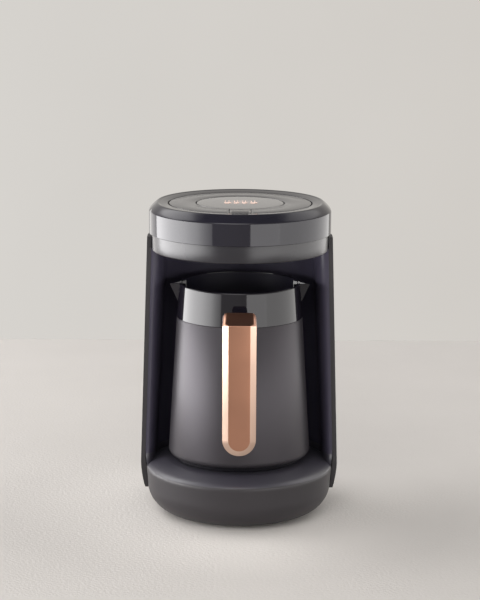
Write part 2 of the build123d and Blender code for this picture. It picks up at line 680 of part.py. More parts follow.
def terminal_block():
    top = board_top_z() + TERMINAL[2]
    mid_y = terminal_rear_y() - TERMINAL[1] / 2
    body = standing(TERMINAL, PART_GAP, terminal_rear_y() - TERMINAL[1], board_top_z())
    for step in (-1, 0, 1):
        x = PART_GAP + TERMINAL[0] / 2 + step * TERMINAL_PITCH
        body -= cyl(TERMINAL_HOLE_R, top - TERMINAL_HOLE_DEPTH, top + PAST, x, mid_y)
    return body


# ================================================================ column
def rear_shell():
    shell = rear_part(shell_section()) - gland_hole()
    for x, z, seat in shell_screw_seats():
        shell -= cyl_y(SCREW_HEAD_R + SCREW_SEAT_PLAY, seat, SHELL_REAR_Y + FAR, x, z)
        shell -= cyl_y(SCREW_R + FIT, seat - SCREW_GRIP, SHELL_REAR_Y, x, z)
    return shell


def shell_screw_seats():
    """(x, z, y of the head's seat) for each screw behind the column."""
    seats = []
    for z in SHELL_SCREW_ZS:
        for x in (-SHELL_SCREW_X, SHELL_SCREW_X):
            seats.append((x, z, shell_back_inner_y(x, z) + SHELL_SEAT_T))
    return seats


def shell_back_inner_y(x, z):
    """How far back the shell's inside lies at x and z."""
    return STRETCH + math.sqrt(shell_inner_r(z) ** 2 - x * x)


def shell_screws():
    return Compound([screw_forward(x, z, seat) for x, z, seat in shell_screw_seats()])


def liner_cone(extra, z0, z1):
    """The half cone of the niche wall, thickened outwards by extra, from z0 to z1."""
    face = flat_face([(0, z0), (niche_r(z0) + extra, z0), (niche_r(z1) + extra, z1), (0, z1)])
    return revolve(face, axis=Axis.Z, revolution_arc=180)


def niche_liner():
    top = HEAD_LOW_Z + WALL - FIT
    wall = liner_cone(LINER_WALL, SHOULDER_Z, top)
    low = SHELL_KNEE_Z + FIT
    high = HEAD_LOW_Z - FIT
    cheek = flat_face([(niche_r(low), low), (shell_inner_r(low) - FIT, low),
                       (shell_inner_r(high) - FIT, high), (niche_r(high), high)])
    cheek = extrude(cheek, amount=CHEEK_T, dir=(0, 1, 0))
    wall += cheek + mirror(cheek, about=Plane.YZ)
    for x, z, seat in shell_screw_seats():
        back = shell_back_inner_y(abs(x) + BOSS_R, z + BOSS_R) - FIT
        wall += cyl_y(BOSS_R, NICHE_TOP_R / 2, back, x, z)
    wall -= liner_cone(0, SHOULDER_Z - FAR, top + FAR)
    for x, z, seat in shell_screw_seats():
        wall -= cyl_y(SCREW_R, seat - SCREW_GRIP - FIT, seat, x, z)
    return wall - stretched(deck_section(0))


def niche_back_y(x, z):
    """How far back the liner's rear face lies at x and z."""
    return math.sqrt((niche_r(z) + LINER_WALL) ** 2 - x * x)


def harness_low_y():
    """At the deck the harness runs midway between the liner and the shell."""
    return (niche_back_y(HARNESS_X, DECK_Z) + shell_back_inner_y(HARNESS_X, DECK_Z)) / 2


def harness_high_y():
    """At the head the harness runs close behind the niche wall, inside the lower ring's ledge."""
    return niche_back_y(HARNESS_X, HEAD_LOW_Z) + HARNESS_R + HARNESS_GAP


def wire_harness():
    x = HARNESS_X
    low_y, high_y = harness_low_y(), harness_high_y()
    low_z = board_top_z() + TERMINAL[2] / 2
    turn_z = HEAD_BOARD_Z - HARNESS_HOLE_R - FAR
    end_y = HEAD_BOARD_R - 2 * HARNESS_HOLE_R
    path = FilletPolyline((x, terminal_rear_y(), low_z), (x, low_y - HARNESS_RUN, low_z),
                          (x, low_y, SHOULDER_Z + PAST), (x, high_y, HEAD_LOW_Z - 2 * HARNESS_HOLE_R),
                          (x, high_y, turn_z), (x, end_y, turn_z), (x, end_y, HEAD_BOARD_Z),
                          radius=HARNESS_BEND * HARNESS_R)
    start = Plane(origin=path @ 0, z_dir=path % 0)
    return sweep(start * Circle(HARNESS_R), path=path)


def cord_gland():
    y0 = STRETCH + BOWL_BELLY_R - WALL - GLAND_REACH
    rear = SHELL_REAR_Y + GLAND_FLANGE_T
    flange = cyl_y(GLAND_FLANGE_R, SHELL_REAR_Y - FAR, rear, 0, GLAND_Z)
    flange -= rear_part(shell_room_section())
    flange -= rear_part(shell_section())
    gland = cyl_y(GLAND_BODY_R, y0, SHELL_REAR_Y + ROOT, 0, GLAND_Z) + flange
    gland += cyl_y(GLAND_FLANGE_R, y0, y0 + GLAND_NUT_T, 0, GLAND_Z)
    return gland - cyl_y(GLAND_BORE_R, y0 - PAST, rear + PAST, 0, GLAND_Z)


# ================================================================ head
def head_lower_ring():
    inner = LOWER_RING_R - WALL
    top = BAND_SPLIT_Z
    ring = [(LOWER_RING_R, HEAD_LOW_Z), (LOWER_RING_R, top), (inner, top), (inner, HEAD_LOW_Z + WALL),
            (inner - LEDGE_W, HEAD_LOW_Z + WALL), (inner - LEDGE_W, HEAD_LOW_Z)]
    return stretched(flat_face(ring)) - liner_cone(LINER_WALL + FIT, SHOULDER_Z, top)


def head_floor():
    z0 = HEAD_LOW_Z + WALL
    z1 = z0 + HEAD_FLOOR_T
    floor = plan_disc(LOWER_RING_R - WALL - FIT, z0, z1)
    floor -= cyl(WINDOW_R, z0 - PAST, z1 + PAST)
    floor -= cyl(HARNESS_HOLE_R, z0 - PAST, z1 + PAST, HARNESS_X, harness_high_y())
    for x, y in ring_spots(HEAD_POST_PITCH_R, HEAD_ANGLES):
        floor += cyl(HEAD_POST_R + HEAD_POST_FOOT_W, z0, z0 + HEAD_POST_FOOT_H, x, y)
        floor += cyl(HEAD_POST_R, z1 - ROOT, HEAD_BOARD_Z, x, y)
        floor -= cyl(SCREW_R + FIT, z0 - PAST, HEAD_BOARD_Z + PAST, x, y)
        floor -= cyl(SCREW_HEAD_R + SCREW_SEAT_PLAY, z0 - PAST, z0 + HEAD_SEAT_DEPTH, x, y)
    return floor


def head_screws():
    seat = HEAD_LOW_Z + WALL + HEAD_SEAT_DEPTH
    spots = ring_spots(HEAD_POST_PITCH_R, HEAD_ANGLES)
    return Compound([screw_up(x, y, seat, top_flange_z() - HEAD_SCREW_SHORT) for x, y in spots])


def sensor_window():
    z0 = HEAD_LOW_Z + WALL
    return cyl(WINDOW_R - WINDOW_GAP, z0 + WINDOW_RECESS, z0 + HEAD_FLOOR_T)


def foam_sensor():
    can = standing(SENSOR, -SENSOR[0] / 2, -SENSOR[1] / 2, HEAD_LOW_Z + WALL + HEAD_FLOOR_T)
    return fillet(can.edges().filter_by(Axis.Z), SENSOR_ROUND)


def head_bezel():
    under = BEZEL_TOP_Z - WALL
    inner = BAND_R - WALL
    edge_in, edge_down = BAND_EDGE
    inside_crest = CREST_R - CREST_W
    outer = [(0, BAND_SPLIT_Z), (BAND_R, BAND_SPLIT_Z), (BAND_R, BEZEL_EDGE_Z - edge_down),
             (BAND_R - edge_in, BEZEL_EDGE_Z), (CREST_R, CREST_Z), (inside_crest, CREST_Z),
             (inside_crest - CREST_INNER_W, BEZEL_TOP_Z), (0, BEZEL_TOP_Z)]
    cavity = [(0, BAND_SPLIT_Z - PAST), (inner, BAND_SPLIT_Z - PAST),
              (inner, BEZEL_EDGE_Z - WALL + edge_down / 3), (inside_crest, under), (0, under)]
    bezel = stretched(flat_face(outer)) - stretched(flat_face(cavity))
    out = LOWER_RING_R - WALL - FIT
    low, high = BAND_SPLIT_Z - BEZEL_SPIGOT_H, BAND_SPLIT_Z + BEZEL_SPIGOT_W
    spigot = [(out - BEZEL_SPIGOT_W, low), (out, low), (out, BAND_SPLIT_Z),
              (inner + BEZEL_SPIGOT_LAP, BAND_SPLIT_Z), (inner + BEZEL_SPIGOT_LAP, high),
              (out - BEZEL_SPIGOT_W, high)]
    bezel += stretched(flat_face(spigot))
    return bezel - cyl(OPENING_R, under - PAST, CREST_Z + PAST)


def top_flange_z():
    """Underside of the top plate's flange."""
    return BEZEL_TOP_Z - WALL - TOP_FLANGE_T


def power_slot(half, inner, outer):
    """The front button's outline in plan: a ring segment between two straight sides."""
    low, high = top_flange_z() - PAST, BEZEL_TOP_Z + PAST
    return tube(outer, inner, low, high) & block(-half, half, -outer, 0, low, high)


def top_plate():
    z0 = top_flange_z()
    plate = cyl(TOP_PLATE_R, z0, BEZEL_TOP_Z) + cyl(TOP_PLATE_R + TOP_FLANGE_W, z0, z0 + TOP_FLANGE_T)
    plate -= cyl(CUP_HOLE_R, z0 - PAST, BEZEL_TOP_Z + PAST)
    plate -= power_slot(POWER_HALF_W + POWER_GAP, CUP_HOLE_R - PAST, TOP_PLATE_R + PAST)
    for x, y in ring_spots(HEAD_POST_PITCH_R, HEAD_ANGLES):
        plate += cyl(HEAD_POST_R, HEAD_BOARD_Z + BOARD_T, z0 + ROOT, x, y)
        plate -= cyl(SCREW_R, HEAD_BOARD_Z, z0 - HEAD_SCREW_SHORT + FIT, x, y)
    return plate


def stem_foot_z():
    return HEAD_BOARD_Z + BOARD_T + PAD_H


def power_mid_y():
    return -(CUP_HOLE_R + TOP_PLATE_R) / 2


def cup_button():
    top = BEZEL_TOP_Z
    under = top - CUP_DISC_T
    crown_r = (CUP_DISC_R ** 2 + CUP_DISC_DOME ** 2) / (2 * CUP_DISC_DOME)
    disc = cyl(CUP_DISC_R, under, top + PAST)
    disc &= Pos(0, 0, top + CUP_DISC_DOME - crown_r) * Sphere(crown_r)
    skirt_r = CUP_DISC_R - CUP_SKIRT_IN
    skirt = tube(skirt_r, skirt_r - CUP_SKIRT_W, under - CUP_SKIRT_H, under + ROOT)
    return disc + skirt + cyl(STEM_R, stem_foot_z(), under + ROOT)


def icon_light_guide():
    under = BEZEL_TOP_Z - CUP_DISC_T
    guide = block(-GUIDE_HALF_X, GUIDE_HALF_X, *GUIDE_Y, under - GUIDE_T, under)
    guide = fillet(guide.edges().filter_by(Axis.Z), GUIDE_ROUND)
    return guide - cyl(STEM_R + FIT, under - GUIDE_T - PAST, under + PAST)


def power_button():
    top = BEZEL_TOP_Z
    under = top - TOP_PLATE_T
    cap = power_slot(POWER_HALF_W, CUP_HOLE_R + POWER_GAP, TOP_PLATE_R)
    cap &= cyl(TOP_PLATE_R + PAST, under, top)
    half = POWER_HALF_W - POWER_RIDGE_IN
    ridge_y = power_mid_y() + POWER_RIDGE_BACK
    ridge = block(-half, half, ridge_y, ridge_y + POWER_RIDGE_W, top - ROOT, top + POWER_RIDGE_PROUD)
    return cap + cyl(STEM_R, stem_foot_z(), under + ROOT, 0, power_mid_y()) + ridge


def button_pad(y):
    return cyl(STEM_R + PAD_EDGE, HEAD_BOARD_Z + BOARD_T, stem_foot_z(), 0, y)


def control_board():
    board = cyl(HEAD_BOARD_R, HEAD_BOARD_Z, HEAD_BOARD_Z + BOARD_T)
    for x, y in ring_spots(HEAD_POST_PITCH_R, HEAD_ANGLES):
        board -= cyl(SCREW_R + FIT, HEAD_BOARD_Z - PAST, HEAD_BOARD_Z + BOARD_T + PAST, x, y)
    return board


def cup_leds():
    z0 = HEAD_BOARD_Z + BOARD_T
    y0 = LED_Y - LED[1] / 2
    xs = [LED_PITCH * (i - 1.5) - LED[0] / 2 for i in range(4)]
    return Compound([standing(LED, x, y0, z0) for x in xs])


def control_chip():
    x, y = CHIP_AT
    return standing(CHIP, x - CHIP[0] / 2, y - CHIP[1] / 2, HEAD_BOARD_Z + BOARD_T)


def buzzer():
    x, y = BUZZER_AT
    can = tube(BUZZER_R, BUZZER_HOLE_R, HEAD_BOARD_Z - BUZZER_H, HEAD_BOARD_Z, x, y)
    return can + cyl(BUZZER_PIN_R, HEAD_BOARD_Z - PAST, HEAD_BOARD_Z, x, y)


# ================================================================ pot
def vessel_floor_z():
    return POT_BOTTOM_Z + POT_DISC_T


def sleeve_section(inset):
    """The sleeve's outline as a filled half section, moved in by inset."""
    mid_in, mid_up = POT_CORNER
    side = Line((POT_SEAM_R - inset, POT_SEAM_Z), (POT_MAX_R - inset, POT_MAX_Z))
    corner = ThreePointArc(side @ 1, (POT_MAX_R - mid_in - inset * 0.8, POT_EDGE_Z + mid_up + inset * 0.2),
                           (POT_EDGE_R - inset * 0.5, POT_EDGE_Z))
    rest = Polyline(corner @ 1, (0, POT_EDGE_Z), (0, POT_SEAM_Z), side @ 0)
    return Plane.XZ * make_face(side + corner + rest)


def pot_sleeve():
    return turned(sleeve_section(0)) - turned(sleeve_section(SLEEVE_WALL)) - screw_bores(SCREW_R + FIT)


def vessel_section(inset):
    """The vessel's outline as a filled half section, moved in by inset and open at the top."""
    z0 = vessel_floor_z() + inset
    top = POT_RIM_Z - VESSEL_DROP + inset
    mid_in, mid_up = VESSEL_CORNER_MID
    low_r = VESSEL_BOTTOM_R - inset
    side = Line((VESSEL_TOP_R - inset, top), (low_r, z0 + VESSEL_CORNER))
    corner = ThreePointArc(side @ 1, (low_r - mid_in, z0 + mid_up), (low_r - VESSEL_CORNER, z0))
    rest = Polyline(corner @ 1, (0, z0), (0, top), side @ 0)
    return Plane.XZ * make_face(side + corner + rest)


def vessel_r(z):
    """Outside radius of the vessel's straight side at height z."""
    low = vessel_floor_z() + VESSEL_CORNER
    return crossed(VESSEL_BOTTOM_R, VESSEL_TOP_R, (z - low) / (POT_RIM_Z - VESSEL_DROP - low))


def pot_vessel():
    vessel = turned(vessel_section(0)) - turned(vessel_section(VESSEL_WALL))
    return vessel - spouts(SPOUT_WALL)


def pot_base_disc():
    disc = cyl(POT_DISC_R, POT_BOTTOM_Z, vessel_floor_z())
    return chamfer(disc.edges().group_by(Axis.Z)[0], POT_DISC_EDGE)


def pot_foot():
    """Ring under the sleeve, set back from its edge, with a lip that stands inside the sleeve."""
    ring = tube(POT_FOOT_R, POT_DISC_R + FIT, POT_BOTTOM_Z + POT_FOOT_DROP, POT_EDGE_Z)
    lip_in = POT_FOOT_R - FOOT_LIP_W
    lip_out = POT_EDGE_R - SLEEVE_WALL - FIT
    lip = tube(lip_out, lip_in, POT_EDGE_Z - ROOT, POT_EDGE_Z + FOOT_LIP_H)
    room = cyl(lip_in, POT_EDGE_Z - PAST, POT_EDGE_Z + PAST)
    return ring + lip - turned(vessel_section(0)) - room


def pot_gasket():
    """Ring that centres the vessel in the sleeve just under the collar."""
    z0 = POT_SEAM_Z - GASKET_DROP
    z1 = z0 + GASKET_H
    inner = VESSEL_TOP_R - GASKET_LAP
    ring = turned_points([(inner, z0), (sleeve_r(z0) - SLEEVE_WALL - GASKET_GAP, z0),
                          (sleeve_r(z1) - SLEEVE_WALL - GASKET_GAP, z1), (inner, z1)])
    return ring - turned(vessel_section(0))


def spout_wedge(side, inset):
    """A beak: flat on top, keel running down from the tip into the collar wall."""
    z = POT_RIM_Z + (PAST if inset else 0)
    tip = SPOUT_TIP_R - inset * 1.7
    half = SPOUT_HALF_W - inset * 1.2
    root_x = VESSEL_TOP_R - SPOUT_ROOT_IN
    collar_x = crossed(POT_RIM_R, POT_SEAM_R, SPOUT_KEEL_H / (POT_RIM_Z - POT_SEAM_Z))
    slope = SPOUT_KEEL_H / (SPOUT_TIP_R - collar_x)
    keel_z = POT_RIM_Z - slope * (SPOUT_TIP_R - root_x) + inset * 3.0
    a, b = Vector(side * root_x, -half, z), Vector(side * root_x, half, z)
    t, k = Vector(side * tip, 0, z), Vector(side * root_x, 0, keel_z)
    faces = [Face(Wire.make_polygon(tri)) for tri in ((a, b, t), (a, t, k), (t, b, k), (b, a, k))]
    return Solid(Shell(faces))


def spouts(inset):
    return spout_wedge(1, inset) + spout_wedge(-1, inset)


def pot_collar():
    edge_in, edge_down = RIM_EDGE
    outer = turned_points([(0, POT_SEAM_Z), (POT_SEAM_R, POT_SEAM_Z), (POT_RIM_R, POT_RIM_Z - edge_down),
                           (POT_RIM_R - edge_in, POT_RIM_Z), (0, POT_RIM_Z)])
    spigot_z = POT_SEAM_Z - SPIGOT_H
    inside = SLEEVE_WALL + FIT
    spigot = turned_points([(0, spigot_z), (sleeve_r(spigot_z) - inside, spigot_z),
                            (sleeve_r(POT_SEAM_Z) - inside, POT_SEAM_Z), (0, POT_SEAM_Z)])
    body = outer + spouts(0) + spigot - spouts(SPOUT_WALL)
    low, high = spigot_z - PAST, POT_RIM_Z + PAST
    bore = [(0, low), (vessel_r(low) + FIT, low), (vessel_r(POT_RIM_Z) + FIT, high), (0, high)]
    return body - turned_points(bore)


# ================================================================ handle
def handle_back_y():
    return HANDLE_FRONT_Y + HANDLE_T


def handle_outline(half_w, y, inset):
    """The bar's outline at depth y: straight sides and a half-round lower end."""
    top = HANDLE_FRONT_TOP_Z + HANDLE_TOP_RISE + FAR
    centre_z = HANDLE_BOTTOM_Z + HANDLE_HALF_W
    half = half_w - inset
    arc = ThreePointArc((-half, y, centre_z), (0, y, centre_z - half), (half, y, centre_z))
    rest = Polyline((half, y, centre_z), (half, y, top), (-half, y, top), (-half, y, centre_z))
    return make_face(arc + rest)


def handle_solid(inset):
    """The bar, smaller by inset on every side but the back."""
    facet_inset = inset * FACET_INSET
    bevel_y = HANDLE_FRONT_Y + HANDLE_BEVEL + facet_inset
    facet = handle_outline(HANDLE_FACET_HALF_W, HANDLE_FRONT_Y + inset, facet_inset)
    shoulder = handle_outline(HANDLE_HALF_W, bevel_y, inset)
    nose = loft([facet, shoulder], ruled=True)
    body = extrude(shoulder, amount=handle_back_y() - bevel_y, dir=(0, 1, 0))
    return (nose + body) - handle_top_cut(inset)


def handle_top_cut(inset):
    """Everything above the bar's sloping top face."""
    reach = HANDLE_T + FAR
    rise = HANDLE_TOP_RISE / HANDLE_T * reach
    z0 = HANDLE_FRONT_TOP_Z - inset
    front, back, over = HANDLE_FRONT_Y - reach, HANDLE_FRONT_Y + reach, POT_RIM_Z
    side = Polyline((0, front, z0 - rise), (0, back, z0 + rise), (0, back, over), (0, front, over),
                    close=True)
    return extrude(make_face(side), amount=HANDLE_HALF_W + FAR, both=True)


def handle_cover():
    return handle_solid(0) - handle_solid(HANDLE_SKIN)


def handle_core():
    core = handle_solid(HANDLE_SKIN + HANDLE_SKIN_GAP)
    for z0, z1 in (TOP_ARM_Z, LOW_ARM_Z):
        arm = block(-ARM_HALF_W, ARM_HALF_W, handle_back_y() - PAST, -POT_SEAM_R / 2, z0, z1)
        core += fillet(arm.edges().filter_by(Axis.Y), ARM_ROUND)
    seat = turned_points([(0, POT_MAX_Z), (POT_MAX_R + FIT, POT_MAX_Z), (POT_SEAM_R + FIT, POT_SEAM_Z),
                          (0, POT_SEAM_Z)])
    return core - seat - screw_bores(SCREW_R)


def screw_bores(radius):
    """Holes for the handle's two screws, through the sleeve and into the arms."""
    bores = [cyl_y(radius, -sleeve_r(z) - HANDLE_SCREW_REACH, -POT_SEAM_R / 2, 0, z) for z in ARM_MID_ZS]
    return bores[0] + bores[1]


def handle_screws():
    screws = []
    for z in ARM_MID_ZS:
        seat = SLEEVE_WALL + FLAT_HEAD_GAP - sleeve_r(z)
        head = cyl_y(SCREW_HEAD_R, seat, seat + FLAT_HEAD_T, 0, z)
        screws.append(head + cyl_y(SCREW_R - SCREW_PLAY, seat - HANDLE_SCREW_REACH, seat + ROOT, 0, z))
    return Compound(screws)


# ================================================================ build
PARTS = {
    "base_tub": base_tub, "bottom_plate": bottom_plate, "rubber_feet": rubber_feet,
    "bottom_screws": bottom_screws, "base_deck": base_deck, "hot_plate": hot_plate,
    "hot_plate_seal": hot_plate_seal, "heating_element": heating_element, "heater_bracket": heater_bracket,
    "bracket_screws": bracket_screws, "thermal_cutout": thermal_cutout,
    "temperature_probe": temperature_probe, "power_board": power_board, "board_screws": board_screws, "heater_relay": heater_relay,
    "transformer": transformer, "filter_capacitor": filter_capacitor, "terminal_block": terminal_block,
    "rear_shell": rear_shell, "shell_screws": shell_screws, "niche_liner": niche_liner,
    "wire_harness": wire_harness, "cord_gland": cord_gland, "head_lower_ring": head_lower_ring,
    "head_floor": head_floor, "head_screws": head_screws, "sensor_window": sensor_window,
    "foam_sensor": foam_sensor, "head_bezel": head_bezel, "top_plate": top_plate, "cup_button": cup_button,
    "icon_light_guide": icon_light_guide, "power_button": power_button,
    "cup_button_pad": lambda: button_pad(0), "power_button_pad": lambda: button_pad(power_mid_y()),
    "control_board": control_board, "cup_leds": cup_leds, "control_chip": control_chip, "buzzer": buzzer,
    "pot_sleeve": pot_sleeve, "pot_vessel": pot_vessel, "pot_base_disc": pot_base_disc, "pot_foot": pot_foot,
    "pot_gasket": pot_gasket, "pot_collar": pot_collar, "handle_cover": handle_cover,
    "handle_core": handle_core, "handle_screws": handle_screws,
}

os.makedirs("parts", exist_ok=True)
for part_name, build in PARTS.items():
    export_step(build(), "parts/" + part_name + ".step")
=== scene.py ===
import json
import math

import bpy
import bmesh
from mathutils import Euler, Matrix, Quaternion, Vector

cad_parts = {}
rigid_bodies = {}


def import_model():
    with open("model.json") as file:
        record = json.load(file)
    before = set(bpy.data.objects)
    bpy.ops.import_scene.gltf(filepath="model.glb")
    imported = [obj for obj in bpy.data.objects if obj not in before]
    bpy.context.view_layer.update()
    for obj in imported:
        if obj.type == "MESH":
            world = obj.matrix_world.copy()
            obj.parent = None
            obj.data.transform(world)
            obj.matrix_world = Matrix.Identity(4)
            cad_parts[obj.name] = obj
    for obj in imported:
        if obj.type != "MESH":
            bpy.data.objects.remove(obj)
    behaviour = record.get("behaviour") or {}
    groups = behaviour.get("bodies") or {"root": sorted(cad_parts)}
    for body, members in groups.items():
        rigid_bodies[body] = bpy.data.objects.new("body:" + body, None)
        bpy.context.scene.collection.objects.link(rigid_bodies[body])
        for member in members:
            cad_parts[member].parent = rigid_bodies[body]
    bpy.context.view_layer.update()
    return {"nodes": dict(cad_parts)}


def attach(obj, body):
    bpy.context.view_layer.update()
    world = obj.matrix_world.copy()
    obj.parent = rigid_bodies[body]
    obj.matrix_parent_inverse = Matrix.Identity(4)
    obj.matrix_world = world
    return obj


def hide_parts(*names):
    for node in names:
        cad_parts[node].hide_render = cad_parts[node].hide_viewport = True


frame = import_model()

# An electric coffee maker for small cups: a bowl-shaped base, an open column, a round head and a lift-out
# pot, which stands on the Z axis with its handle towards -Y. Lengths are in mm, except for the stage, the
# lamps and the camera, where they are in m.
MM = 0.001
NEAR = 0.05        # points this close to a level count as lying on it
STRETCH = 8.0      # straight run between the front and rear half circles of the casing
DECK_Z = 43.5
DECK_UNDER_Z = 41.1
HEAD_LOW_Z = 211.8
SHELL_TOP_Z = 221.4
SHELL_KNEE_Z = 38.0
BAND_SPLIT_Z = 225.5
LEDGE_Z = 246.3    # step that carries the control top and the disc
TOP_Z = 248.7
RIM_Z = 185.4
SEAM_Z = 158.3


# ---------------------------------------------------------------- modelling
def open_piece(name):
    """Starts an empty piece at the origin and opens it for editing."""
    for other in list(bpy.context.selected_objects):
        other.select_set(False)
    piece = bpy.data.objects.new(name, bpy.data.meshes.new(name))
    bpy.context.scene.collection.objects.link(piece)
    bpy.context.view_layer.objects.active = piece
    piece.select_set(True)
    bpy.ops.object.mode_set(mode="EDIT")
    bpy.ops.mesh.select_mode(type="VERT")
    return piece


def close_piece(piece):
    """Merges doubles, turns the faces outwards and leaves edit mode."""
    bpy.ops.mesh.select_all(action="SELECT")
    bpy.ops.mesh.remove_doubles(threshold=0.000002)
    bpy.ops.mesh.normals_make_consistent(inside=False)
    if bmesh.from_edit_mesh(piece.data).calc_volume(signed=True) < 0:
        bpy.ops.mesh.flip_normals()
    bpy.ops.object.mode_set(mode="OBJECT")
    return piece


def only(piece):
    """Selects the piece alone."""
    for other in list(bpy.context.selected_objects):
        other.select_set(False)
    bpy.context.view_layer.objects.active = piece
    piece.select_set(True)


def select_points(piece, test):
    """Selects the vertices for which test(x, y, z in mm) holds."""
    bpy.ops.mesh.select_mode(type="VERT")
    bpy.ops.mesh.select_all(action="DESELECT")
    shape = bmesh.from_edit_mesh(piece.data)
    for vert in shape.verts:
        vert.select_set(bool(test(vert.co.x / MM, vert.co.y / MM, vert.co.z / MM)))
    shape.select_flush_mode()
    bmesh.update_edit_mesh(piece.data)


def start_point(x, y, z):
    """A single selected vertex: a small plane gathered to its middle."""
    bpy.ops.mesh.select_all(action="DESELECT")
    bpy.ops.mesh.primitive_plane_add(size=0.001, location=(x * MM, y * MM, z * MM))
    bpy.ops.mesh.merge(type="CENTER")


def draw(points, closed=False, filled=False):
    """A line of vertices through the points (mm), each extruded from the one before."""
    start_point(*points[0])
    for here, there in zip(points, points[1:]):
        step = [(b - a) * MM for a, b in zip(here, there)]
        bpy.ops.mesh.extrude_vertices_move(TRANSFORM_OT_translate={"value": step})
    if closed or filled:
        bpy.ops.mesh.select_linked(delimit=set())
        bpy.ops.mesh.select_mode(type="VERT")
        if filled:
            bpy.ops.mesh.edge_face_add()
        else:
            close_chain()


def close_chain():
    """Joins the two loose ends of the selected line with an edge."""
    shape = bmesh.from_edit_mesh(bpy.context.edit_object.data)
    ends = [v for v in shape.verts if v.select and len(v.link_edges) == 1]
    bpy.ops.mesh.select_all(action="DESELECT")
    for vert in ends:
        vert.select_set(True)
    bmesh.update_edit_mesh(bpy.context.edit_object.data)
    bpy.ops.mesh.edge_face_add()


def stretch_rear(piece, test=None):
    """Moves what lies behind the middle back by the casing's straight run."""
    select_points(piece, lambda x, y, z: y > 0.001 and (test is None or test(x, y, z)))
    bpy.ops.transform.translate(value=(0, STRETCH * MM, 0))


def turned(name, profile, steps=192, stretch=False):
    """A piece turned round the pot's axis from (radius, height) points.

    Where stretch is True, its rear half is moved back; where it is a test, only the points that pass are.
    """
    piece = open_piece(name)
    draw([(r, 0, z) for r, z in profile], closed=profile[0][0] > 0)
    bpy.ops.mesh.select_all(action="SELECT")
    bpy.ops.mesh.spin(steps=steps, angle=2 * math.pi, center=(0, 0, 0), axis=(0, 0, 1))
    bpy.ops.mesh.select_all(action="SELECT")
    bpy.ops.mesh.remove_doubles(threshold=0.000002)
    if stretch:
        stretch_rear(piece, None if stretch is True else stretch)
    return close_piece(piece)


def rear_turned(name, section, steps):
    """A filled section carried back along the straight run and round the rear half circle."""
    piece = open_piece(name)
    draw([(r, 0, z) for r, z in section], filled=True)
    bpy.ops.mesh.select_all(action="SELECT")
    bpy.ops.mesh.spin(steps=steps, angle=-math.pi, center=(0, 0, 0), axis=(0, 0, 1))
    stretch_rear(piece)
    return close_piece(piece)


def outside(radius):
    """A test for the points that lie outside a radius round the pot's axis."""
    return lambda x, y, z: math.hypot(x, y) > radius


def soften(piece, width, segments=3, angle=30, smooth=32):
    """Rounds the sharp edges, where a width is given, and shades the rest smooth."""
    only(piece)
    if width:
        bevel = piece.modifiers.new("soft_edges", "BEVEL")
        bevel.width = width * MM
        bevel.segments = segments
        bevel.limit_method = "ANGLE"
        bevel.angle_limit = math.radians(angle)
        bevel.harden_normals = False
        bevel.use_clamp_overlap = True
        bpy.ops.object.modifier_apply(modifier=bevel.name)
    bpy.ops.object.shade_smooth_by_angle(angle=math.radians(smooth))
    return piece


def combine(piece, tool, operation):
    """Cuts the tool from the piece, or joins it on, and removes the tool."""
    only(piece)
    cut = piece.modifiers.new("cut", "BOOLEAN")
    cut.operation = operation
    cut.solver = "EXACT"
    cut.object = tool
    bpy.ops.object.modifier_apply(modifier=cut.name)
    bpy.data.objects.remove(tool)


def block(name, low, high):
    """A plain block between two corners."""
    piece = open_piece(name)
    middle = [(a + b) / 2 * MM for a, b in zip(low, high)]
    bpy.ops.mesh.primitive_cube_add(size=1, location=middle)
    bpy.ops.transform.resize(value=[(b - a) * MM for a, b in zip(low, high)], center_override=middle)
    return close_piece(piece)


def rod(name, radius, length, middle, sides):
    """A round rod along Y about its middle."""
    piece = open_piece(name)
    bpy.ops.mesh.primitive_cylinder_add(vertices=sides, radius=radius * MM, depth=length * MM,
                                        location=[c * MM for c in middle], rotation=(math.pi / 2, 0, 0))
    return close_piece(piece)


def arc(cx, cz, radius, start, end, steps):
    """Points on an arc in the XZ plane, angles in degrees."""
    turns = [math.radians(start + (end - start) * i / steps) for i in range(steps + 1)]
    return [(cx + radius * math.cos(t), cz + radius * math.sin(t)) for t in turns]


# ---------------------------------------------------------------- node helpers
def node(tree, kind, **values):
    """A new node with some of its settings."""
    made = tree.nodes.new(kind)
    for key, value in values.items():
        setattr(made, key, value)
    return made


def object_place(tree):
    """The point's place on its piece."""
    return node(tree, "ShaderNodeTexCoord").outputs["Object"]


def noise(tree, source, scale, detail):
    """A cloudy pattern between 0 and 1."""
    made = node(tree, "ShaderNodeTexNoise")
    made.inputs["Scale"].default_value = scale
    made.inputs["Detail"].default_value = detail
    tree.links.new(source, made.inputs["Vector"])
    return made.outputs["Fac"]


def ranged(tree, source, low, high, most=1.0, least=0.0, smooth=False):
    """Maps the values from low to high onto those from least to most."""
    made = node(tree, "ShaderNodeMapRange", interpolation_type="SMOOTHSTEP" if smooth else "LINEAR")
    for name, value in (("From Min", low), ("From Max", high), ("To Min", least), ("To Max", most)):
        made.inputs[name].default_value = value
    tree.links.new(source, made.inputs["Value"])
    return made.outputs["Result"]


def ramped(tree, source, low, dark, high, light):
    """Turns a value into a colour between dark, at low, and light, at high."""
    made = node(tree, "ShaderNodeValToRGB")
    for stop, place, colour in zip(made.color_ramp.elements, (low, high), (dark, light)):
        stop.position = place
        stop.color = [*colour, 1]
    tree.links.new(source, made.inputs["Fac"])
    return made.outputs["Color"]


def mixed(tree, share, first, second, blend="MIX"):
    """Mixes two colours, each written down or coming from another node."""
    made = node(tree, "ShaderNodeMixRGB", blend_type=blend)
    for name, value in (("Fac", share), ("Color1", first), ("Color2", second)):
        if isinstance(value, bpy.types.NodeSocket):
            tree.links.new(value, made.inputs[name])
        else:
            made.inputs[name].default_value = value if name == "Fac" else [*value, 1]
    return made.outputs["Color"]


